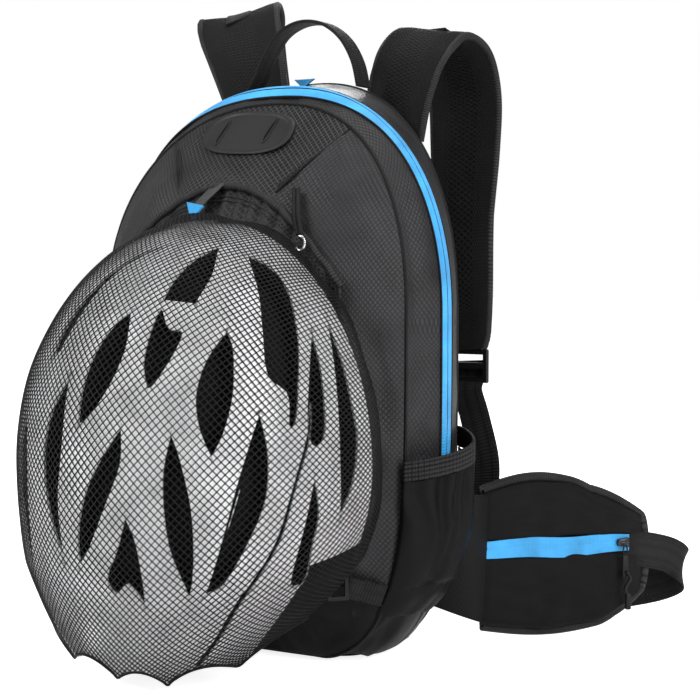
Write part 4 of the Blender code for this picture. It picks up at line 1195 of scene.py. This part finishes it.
def clothPad(name, x, z, width, height, depth, y, replaced):
    # a cushion blown up by a short cloth simulation, then finished
    def spot(u, v):
        turn = 2 * math.pi * u
        reach = math.sin(math.pi * v)
        px = x + width / 2 * power(math.cos(turn), 0.35) * reach ** 0.25
        pz = z + height / 2 * power(math.sin(turn), 0.35) * reach ** 0.25
        return Vector((px, y + depth * 0.42 - depth * 0.40 * power(math.cos(math.pi * v), 0.5), pz))

    bm = mappedSheet(64, 20, spot, closed=True)
    bmesh.ops.dissolve_degenerate(bm, edges=bm.edges[:], dist=1e-5)
    mesh = bpy.data.meshes.new(name)
    bm.to_mesh(mesh)
    bm.free()
    piece = bpy.data.objects.new(name, mesh)
    bpy.context.scene.collection.objects.link(piece)
    remesh = piece.modifiers.new("remesh", "REMESH")
    remesh.mode = "VOXEL"
    remesh.voxel_size = 0.005
    applyModifiers(piece)
    start = [vert.co.copy() for vert in piece.data.vertices]
    swell = piece.modifiers.new("cloth", "CLOTH")
    swell.settings.use_pressure = True
    swell.settings.uniform_pressure_force = 4
    swell.settings.effector_weights.gravity = 0
    swell.point_cache.frame_start = 1
    swell.point_cache.frame_end = 20
    for number in range(1, 21):
        bpy.context.scene.frame_set(number)
    applyModifiers(piece)
    bpy.context.scene.frame_set(1)
    cap = 0.0045
    for vert, old in zip(piece.data.vertices, start):
        move = vert.co - old
        if move.length > cap:
            vert.co = old + move.normalized() * cap
        vert.co.y = max(vert.co.y, y + 0.0002)
    work = bmesh.new()
    work.from_mesh(piece.data)
    bmesh.ops.subdivide_edges(work, edges=work.edges[:], cuts=1, use_grid_fill=True, smooth=0.5)
    uvKey = work.loops.layers.uv.verify()
    for face in work.faces:
        for loop in face.loops:
            loop[uvKey].uv = (loop.vert.co.x, loop.vert.co.z)
    groove = height / 5
    for vert in work.verts:
        near = abs((vert.co.z - z + height / 2) % groove - groove / 2)
        if vert.co.y > y + depth * 0.4:
            vert.co.y -= 0.0022 * math.exp(-((near - groove / 2) / 0.0035) ** 2)
    oldMesh = piece.data
    bpy.data.objects.remove(piece, do_unlink=True)
    bpy.data.meshes.remove(oldMesh)
    made = makePiece(name, work, backMeshCloth, "pack", (replaced,), sharp=80)
    return made


def applyModifiers(piece):
    graph = bpy.context.evaluated_depsgraph_get()
    graph.update()
    mesh = bpy.data.meshes.new_from_object(piece.evaluated_get(graph))
    piece.modifiers.clear()
    piece.data = mesh


def buildBack():
    panelY = bag["backY"] + 0.0004

    def panelSpot(u, v):
        turn = turnAt(u)
        x, z = outline(turn, bag["backY"], 0.995 * v)
        edge = ease((1 - v) / 0.06)
        return Vector((x, panelY + 0.0008 + 0.0018 * edge, max(z, bag["floor"])))

    bm = mappedSheet(200, 40, panelSpot, closed=True, core=(0, -0.2, 0.2),
                     uvOf=lambda point: (point.x, point.z))
    makePiece("backPanel", bm, backMeshCloth, "pack", ("back_panel",), wall=0.0010)
    rim = [(*outline(turnAt(k / 120), bag["backY"], 0.995), 0) for k in range(120)]
    ring = [(x, panelY + 0.0008, max(z, bag["floor"] + 0.001)) for x, z, _ in rim]
    makePiece("backPiping", tubeMesh(ring, 0.0020, 360, 8, closed=True), pipingBlack, "pack")
    padY = bag["backY"] + 0.0038
    clothPad("backPadRight", 0.052, 0.242, 0.062, 0.246, 0.0085, padY, "back_pad_right")
    clothPad("backPadLeft", -0.052, 0.242, 0.062, 0.246, 0.0085, padY, "back_pad_left")
    clothPad("lumbarPad", 0.0, 0.060, 0.164, 0.080, 0.0105, padY, "lumbar_pad")


def buildBase():
    size = (0.184, 0.098)

    def spot(u, v):
        turn = 2 * math.pi * u
        x = size[0] / 2 * power(math.cos(turn), 0.5) * v
        y = size[1] / 2 * power(math.sin(turn), 0.5) * v
        return Vector((x, y, 0.0004 + 0.0024 * ease((v - 0.9) / 0.1)))

    bm = mappedSheet(80, 16, spot, closed=True, core=(0, 0, 0.2), uvOf=lambda point: (point.x, point.y))
    makePiece("basePanel", bm, baseCloth, "pack", ("base_panel",), wall=0.0004)


def buildSternum():
    sternum = {"z": 0.345, "sag": 0.004, "right": 0.0600, "left": -0.0700, "y": 0.1432, "gap": 0.0229}
    for word, sign in (("right", 1), ("left", -1)):
        start = sternum[word] - sign * 0.0064
        stop = sign * sternum["gap"]
        path = []
        for k in range(5):
            sag = math.sin(math.pi / 2 * k / 4)
            x = start + (stop - start) * k / 4
            path.append((x, sternum["y"] + 0.0090 * sag, sternum["z"] - sternum["sag"] * sag, 0.020, 0, 0, 1))
        makePiece("sternumWebbing" + word.title(), strapMesh(path, 0.0018, 30, 14), webbingWeave,
                  "sternum_strap", ("sternum_webbing_" + word,))


buildBack()
buildBase()
buildSternum()
print("back made")

# Helmet

helmet = {"y": -0.096, "z": 0.150, "half": (0.133, 0.145, 0.171), "arc": (0.218, 0.250), "hinge": 0.326,
          "cell": 0.0038, "strand": 0.0009, "bareCorner": (0.158, -0.073, 0)}
hemRibs = [(-0.200, 0.040), (-0.048, 0.013), (0.013, 0.005), (0.063, 0.000), (0.123, 0.006), (0.200, 0.040)]
vents = {  # outlines in millimetres of arc across and up from the crown, drawn round
    "crownUpper": [(54, 184), (54, 184), (42, 162), (36, 138), (35, 121), (35, 121), (60, 121), (60, 121),
                   (63, 150)],
    "crownLower": [(36, 114), (34, 95), (35, 74), (41, 58), (41, 58), (46, 62), (55, 82), (57, 98),
                   (46, 100)],
    "leftOne": [(14, 109), (14, 109), (2, 96), (-6, 76), (-9, 54), (-8, 33), (-8, 33), (2, 40), (14, 60),
                (19, 84)],
    "middle": [(88, 102), (88, 102), (79, 82), (75, 58), (79, 36), (88, 17), (88, 17), (95, 32), (99, 58),
               (95, 88)],
    "rightBig": [(81, 180), (81, 180), (102, 140), (113, 104), (121, 74), (137, 62), (140, 38), (145, 50),
                 (141, 104), (126, 148), (106, 172)],
    "lowMiddle": [(61, 30), (61, 30), (57, 8), (57, -18), (61, -46), (73, -77), (73, -77), (76, -50),
                  (75, -16), (68, 14)],
    "lowRight": [(118, 46), (118, 46), (111, 20), (103, -8), (95, -38), (84, -76), (84, -76), (96, -70),
                 (112, -42), (124, -12), (125, 20)],
    "leftTwo": [(26, 33), (26, 33), (14, 16), (0, -8), (-8, -34), (-9, -54), (-9, -54), (2, -40), (18, -10),
                (27, 12)],
    "lowNotch": [(30, -22), (30, -22), (22, -44), (13, -62), (19, -73), (29, -66), (41, -82), (41, -82),
                 (39, -57), (36, -36)],
    "slitOne": [(150, 118), (150, 118), (152, 84), (154, 36), (161, 24), (168, 38), (162, 84)],
    "slitTwo": [(160, 0), (160, 0), (154, -32), (145, -78), (150, -90), (157, -86), (160, -57), (164, -30)],
    "edgeRight": [(160, 142), (160, 142), (171, 100), (178, 56), (181, 10), (182, -36), (182, -36),
                  (193, -10), (198, 26), (194, 52), (181, 96)],
    "edgeLeft": [(11, 173), (11, 173), (-12, 160), (-37, 131), (-54, 100), (-56, 78), (-56, 78), (-46, 84),
                 (-35, 112), (-20, 142)],
    "leftThree": [(-24, 62), (-24, 62), (-38, 42), (-44, 18), (-40, -16), (-25, -52), (-25, -52),
                  (-26, -14), (-22, 20)],
    "farOne": [(-85, 40), (-85, 40), (-95, 10), (-96, -40), (-84, -86), (-84, -86), (-76, -40), (-75, 10)],
    "farTwo": [(-118, 110), (-118, 110), (-130, 70), (-134, 30), (-128, 4), (-120, 24), (-116, 66)],
    "farThree": [(-130, -16), (-130, -16), (-136, -46), (-130, -86), (-120, -90), (-116, -50)],
    "farFour": [(-158, 120), (-158, 120), (-170, 60), (-176, 0), (-172, -40), (-162, 0), (-156, 60)],
    "crease": [(155, 58), (153, 30), (142, -10), (130, -48), (108, -84), (98, -120), (86, -150), (92, -150),
               (103, -119), (113, -83), (134, -47), (145, -9), (156, 30)],
}


def helmetSpot(p, q, grow=0.0):
    # a point of the dome at arc distances p, q from its crown; past the rim it runs back towards the bag
    across, up = p / helmet["arc"][0], q / helmet["arc"][1]
    reach, turn = math.hypot(across, up), math.atan2(up, across)
    angle = max(0.0, 1 - reach) * math.pi / 2
    down = max(0.0, -math.sin(turn)) * math.cos(angle)
    taper = 1 - 0.35 * max(0.0, (down - 0.4) / 0.6) ** 1.2
    past = max(0.0, reach - 1)
    half = [h + grow for h in helmet["half"]]
    x = half[0] * math.cos(turn) * math.cos(angle) * taper * (1 - 0.5 * past) - 0.022 * down ** 2
    y = helmet["y"] - half[1] * math.sin(angle) - 0.045 * down ** 2 * math.cos(angle) ** 2 + 0.225 * past
    z = helmet["z"] + half[2] * math.sin(turn) * math.cos(angle) * (1 - 0.35 * past)
    return Vector((x, y, z))


def hemHeight(p):
    # how high the lower edge stands: low at the rib points, scooped between them
    for (a, low), (b, high) in zip(hemRibs, hemRibs[1:]):
        if a <= p <= b:
            share = (p - a) / (b - a)
            return (low + (high - low) * share + 0.012 * math.sin(math.pi * share) ** 0.8
                    * min(1.0, (b - a) / 0.07))
    return hemRibs[0][1]


def cutHem(bm, floor=0.006):
    # trims a dome mesh along its scooped lower edge
    pKey = bm.verts.layers.float["p"]
    for vert in bm.verts:
        vert.co.z -= hemHeight(vert[pKey])
    bmesh.ops.bisect_plane(bm, geom=bm.verts[:] + bm.edges[:] + bm.faces[:], dist=1e-6,
                           plane_co=(0, 0, floor),
                           plane_no=(0, 0, -1), clear_outer=True)
    for vert in bm.verts:
        vert.co.z += hemHeight(vert[pKey])


def domeMesh(grow, across, up, edge=1.0, ridge=0.0):
    bm = bmesh.new()
    bmesh.ops.create_grid(bm, x_segments=across, y_segments=up, size=1.0)
    for vert in bm.verts:
        s, t = vert.co.x, vert.co.y
        vert.co.x = s * math.sqrt(1 - t * t / 2) * helmet["arc"][0] * edge
        vert.co.y = t * math.sqrt(1 - s * s / 2) * helmet["arc"][1] * edge
    slopeAcross, slopeUp = 0.082, 0.020
    for across in ((slopeAcross, -slopeUp, 0), (0, 1, 0)):
        bmesh.ops.bisect_plane(bm, geom=bm.verts[:] + bm.edges[:] + bm.faces[:], dist=1e-6,
                               plane_co=helmet["bareCorner"], plane_no=across)
    for face in bm.faces:
        away = face.calc_center_median() - Vector(helmet["bareCorner"])
        face.material_index = 1 if away.y < 0 and away.x * slopeAcross > away.y * slopeUp else 0
    pKey = bm.verts.layers.float.new("p")
    for vert in bm.verts:
        p, q = vert.co.x, vert.co.y
        vert[pKey] = p
        vert.co = helmetSpot(p, q, grow + ridge * ridgeHeight(p, q))
    bmesh.ops.recalc_face_normals(bm, faces=bm.faces[:])
    faceAway(bm, Vector((0, -0.05, 0.15)))
    cutHem(bm)
    return bm


def ridgeHeight(p, q):
    # broad ribs that run from the crown towards both ends
    return math.cos(p / 0.018 + 0.6) * ease((0.95 - math.hypot(p / 0.218, q / 0.25)) * 4)


def ventCutter(points, outer, inner, count=36):
    bm = bmesh.new()
    bmesh.ops.create_circle(bm, cap_ends=True, segments=count, radius=1.0)
    ring = [smoothRead(points, k / count, True) for k in range(count)]
    spots = list(bm.verts)
    for vert, (p, q) in zip(spots, ring):
        vert.co = helmetSpot(p / 1000, q / 1000, outer)
    out = bmesh.ops.extrude_face_region(bm, geom=bm.faces[:])
    moved = [g for g in out["geom"] if isinstance(g, bmesh.types.BMVert)]
    spotOf = {}
    for vert, (p, q) in zip(spots, ring):
        spotOf[tuple(round(c, 7) for c in vert.co)] = helmetSpot(p / 1000, q / 1000, inner)
    for vert in moved:
        vert.co = spotOf[tuple(round(c, 7) for c in vert.co)]
    bmesh.ops.recalc_face_normals(bm, faces=bm.faces[:])
    return bm


def cutVents(piece, names, outer, inner):
    cutter = bpy.data.objects.new("cutter", bpy.data.meshes.new("cutter"))
    bm = joinMeshes(*[ventCutter(vents[name], outer, inner) for name in names])
    bm.to_mesh(cutter.data)
    bm.free()
    bpy.context.scene.collection.objects.link(cutter)
    cut = piece.modifiers.new("vents", "BOOLEAN")
    cut.operation = "DIFFERENCE"
    cut.solver = "EXACT"
    cut.use_self = True
    cut.object = cutter
    applyModifiers(piece)
    bpy.data.objects.remove(cutter, do_unlink=True)


def buildHelmet():
    shell = makePiece("helmetShell", domeMesh(0.0, 90, 100, 0.985, 0.0010), (helmetPaint, helmetFoam),
                      "helmet_carrier",
                      ("helmet_shell",), wall=0.0016)
    cutVents(shell, vents, 0.012, -0.012)
    liner = makePiece("helmetLiner", domeMesh(-0.0030, 70, 80, 0.975), (helmetFoam, helmetFoam),
                      "helmet_carrier",
                      ("helmet_liner",), wall=0.0110)
    cutVents(liner, [name for name in vents if name not in ("crease", "edgeLeft")], 0.012, -0.040)
    makePiece("helmetPadding", domeMesh(-0.0160, 60, 70, 0.955), (helmetFoam, helmetFoam), "helmet_carrier",
              wall=0.0020)
    for piece in (shell, liner):
        piece.data.shade_smooth()
        piece.data.set_sharp_from_angle(angle=math.radians(35))


def netEdge(turn):
    # how far past the rim the net runs, furthest where its lower corners are hooked to the bag
    lower = (max(0.0, math.cos(turn + math.radians(40))) ** 6
             + max(0.0, math.cos(turn + math.radians(140))) ** 6)
    return 1.05 + 0.13 * min(1.0, lower)


def buildNet():
    for word, sign in (("Right", 1), ("Left", -1)):
        bm = bmesh.new()
        span = 0.74
        count = int(span / helmet["cell"])
        bmesh.ops.create_grid(bm, x_segments=count, y_segments=count, size=span / 2)
        bmesh.ops.rotate(bm, matrix=Matrix.Rotation(math.pi / 4, 3, "Z"), verts=bm.verts[:], cent=(0, 0, 0))

        def outside(vert):
            across, up = vert.co.x / helmet["arc"][0], vert.co.y / helmet["arc"][1]
            return math.hypot(across, up) > netEdge(math.atan2(up, across))

        edgeFaces = [face for face in bm.faces if all(outside(v) for v in face.verts)
                     or (face.calc_center_median().x < 0.03) == (sign > 0)]
        bmesh.ops.delete(bm, geom=edgeFaces, context="FACES")
        for vert in bm.verts:
            if vert.is_valid and outside(vert):
                across, up = vert.co.x / helmet["arc"][0], vert.co.y / helmet["arc"][1]
                factor = netEdge(math.atan2(up, across)) / math.hypot(across, up)
                vert.co.x *= factor
                vert.co.y *= factor
        bmesh.ops.dissolve_degenerate(bm, edges=bm.edges[:], dist=1e-5)
        pKey = bm.verts.layers.float.new("p")
        for vert in bm.verts:
            vert[pKey] = vert.co.x
            reach = math.hypot(vert.co.x / helmet["arc"][0], vert.co.y / helmet["arc"][1])
            turn = math.atan2(vert.co.y, vert.co.x)
            bump = 0.0045 * abs(math.sin(turn * 6.5)) ** 1.5 * ease((reach - 0.80) / 0.2)
            stand = 0.0016 + 0.0008 * wobble(vert.co, 22, 1.0) + bump * max(0.0, math.sin(turn))
            vert.co = helmetSpot(vert.co.x, vert.co.y, stand)
        cutHem(bm)
        bmesh.ops.recalc_face_normals(bm, faces=bm.faces[:])
        faceAway(bm, Vector((0, -0.05, 0.15)))
        slivers = [face for face in bm.faces if face.calc_area() < 0.25 * helmet["cell"] ** 2]
        bmesh.ops.delete(bm, geom=slivers, context="FACES")
        made = bmesh.ops.inset_individual(bm, faces=bm.faces[:], thickness=helmet["strand"] / 2)
        rims = set(made["faces"])
        bmesh.ops.delete(bm, geom=[face for face in bm.faces if face not in rims], context="FACES")
        makePiece("helmetNet" + word, bm, netCord, "helmet_carrier",
                  ("helmet_net",) if sign > 0 else (), wall=0.0005, offset=0.0, even=False)

    def hemSpot(p):
        low, high = -helmet["arc"][1], 0.0
        for _ in range(26):
            middle = (low + high) / 2
            above = helmetSpot(p, middle, 0.0016).z > hemHeight(p) + 0.006
            low, high = (low, middle) if above else (middle, high)
        return helmetSpot(p, high, 0.0018)

    hem = [tuple(hemSpot(-0.150 + 0.325 * k / 90)) for k in range(91)]
    makePiece("netHem", tubeMesh(hem, 0.0010, 300, 6), netCord, "helmet_carrier")


buildHelmet()
print("helmet made")
buildNet()
print("net made")


# Finishes for the pieces kept from the frame

def dress(names, made):
    for name in names:
        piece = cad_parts[name]
        if not piece.material_slots:
            piece.data.materials.append(made)
        for holder in piece.material_slots:
            holder.link = "OBJECT"
            holder.material = made


dress(["frame_sheet", "ladder_lock_right", "ladder_lock_left", "sternum_clip_right", "sternum_clip_left",
       "net_hook_right", "net_hook_left", "sternum_buckle_socket", "sternum_buckle_plug",
       "belt_buckle_socket",
       "belt_buckle_plug", "reservoir_cap", "reservoir_outlet"], blackPlastic)
dress(["reservoir_bladder"], reservoirFilm)

# Floor and light


def areaLight(name, place, aim, size, power_):
    lamp = bpy.data.objects.new(name, bpy.data.lights.new(name, "AREA"))
    lamp.data.energy = power_
    lamp.data.shape = "RECTANGLE"
    lamp.data.size, lamp.data.size_y = size
    lamp.location = place
    lamp.rotation_euler = (Vector(aim) - Vector(place)).to_track_quat("-Z", "Y").to_euler()
    bpy.context.scene.collection.objects.link(lamp)


floorMesh = bmesh.new()
bmesh.ops.create_grid(floorMesh, x_segments=1, y_segments=1, size=12)
floorData = bpy.data.meshes.new("floor")
floorMesh.to_mesh(floorData)
floorMesh.free()
floor = bpy.data.objects.new("floor", floorData)
floor.location.z = -0.0005
bpy.context.scene.collection.objects.link(floor)
floorPaint, _, floorShader, _ = startMaterial("floorPaint", (0.90, 0.90, 0.90), 0.9, 0.05)
floorShader.inputs["Emission Color"].default_value = (1, 1, 1, 1)
floorTree = floorPaint.node_tree
seen = addNode(floorTree, "LightPath")
glow = addNode(floorTree, "MapRange", {0: seen.outputs["Is Camera Ray"], 3: 0.15, 4: 0.85})
floorTree.links.new(glow.outputs[0], floorShader.inputs["Emission Strength"])
floorData.materials.append(floorPaint)
areaLight("keyLight", (-1.3, -1.9, 1.9), (0, 0, 0.22), (1.4, 1.4), 62)
areaLight("rightLight", (2.1, -0.6, 1.3), (0.05, 0, 0.22), (1.0, 1.8), 46)
areaLight("topLight", (0.2, 0.5, 2.3), (0, 0, 0.25), (1.6, 1.2), 17)
areaLight("backLight", (-1.2, 2.0, 1.2), (0, 0.05, 0.25), (1.2, 1.2), 22)
world = bpy.data.worlds.new("studio")
bpy.context.scene.world = world
world.use_nodes = True
worldTree = world.node_tree
sky = worldTree.nodes["Background"]
rays = addNode(worldTree, "LightPath")
strength = addNode(worldTree, "MapRange", {0: rays.outputs["Is Camera Ray"], 3: 0.26, 4: 1.0})
worldTree.links.new(strength.outputs[0], sky.inputs["Strength"])
sky.inputs["Color"].default_value = (1, 1, 1, 1)
bpy.context.scene.view_settings.view_transform = "Standard"
print("stage made")
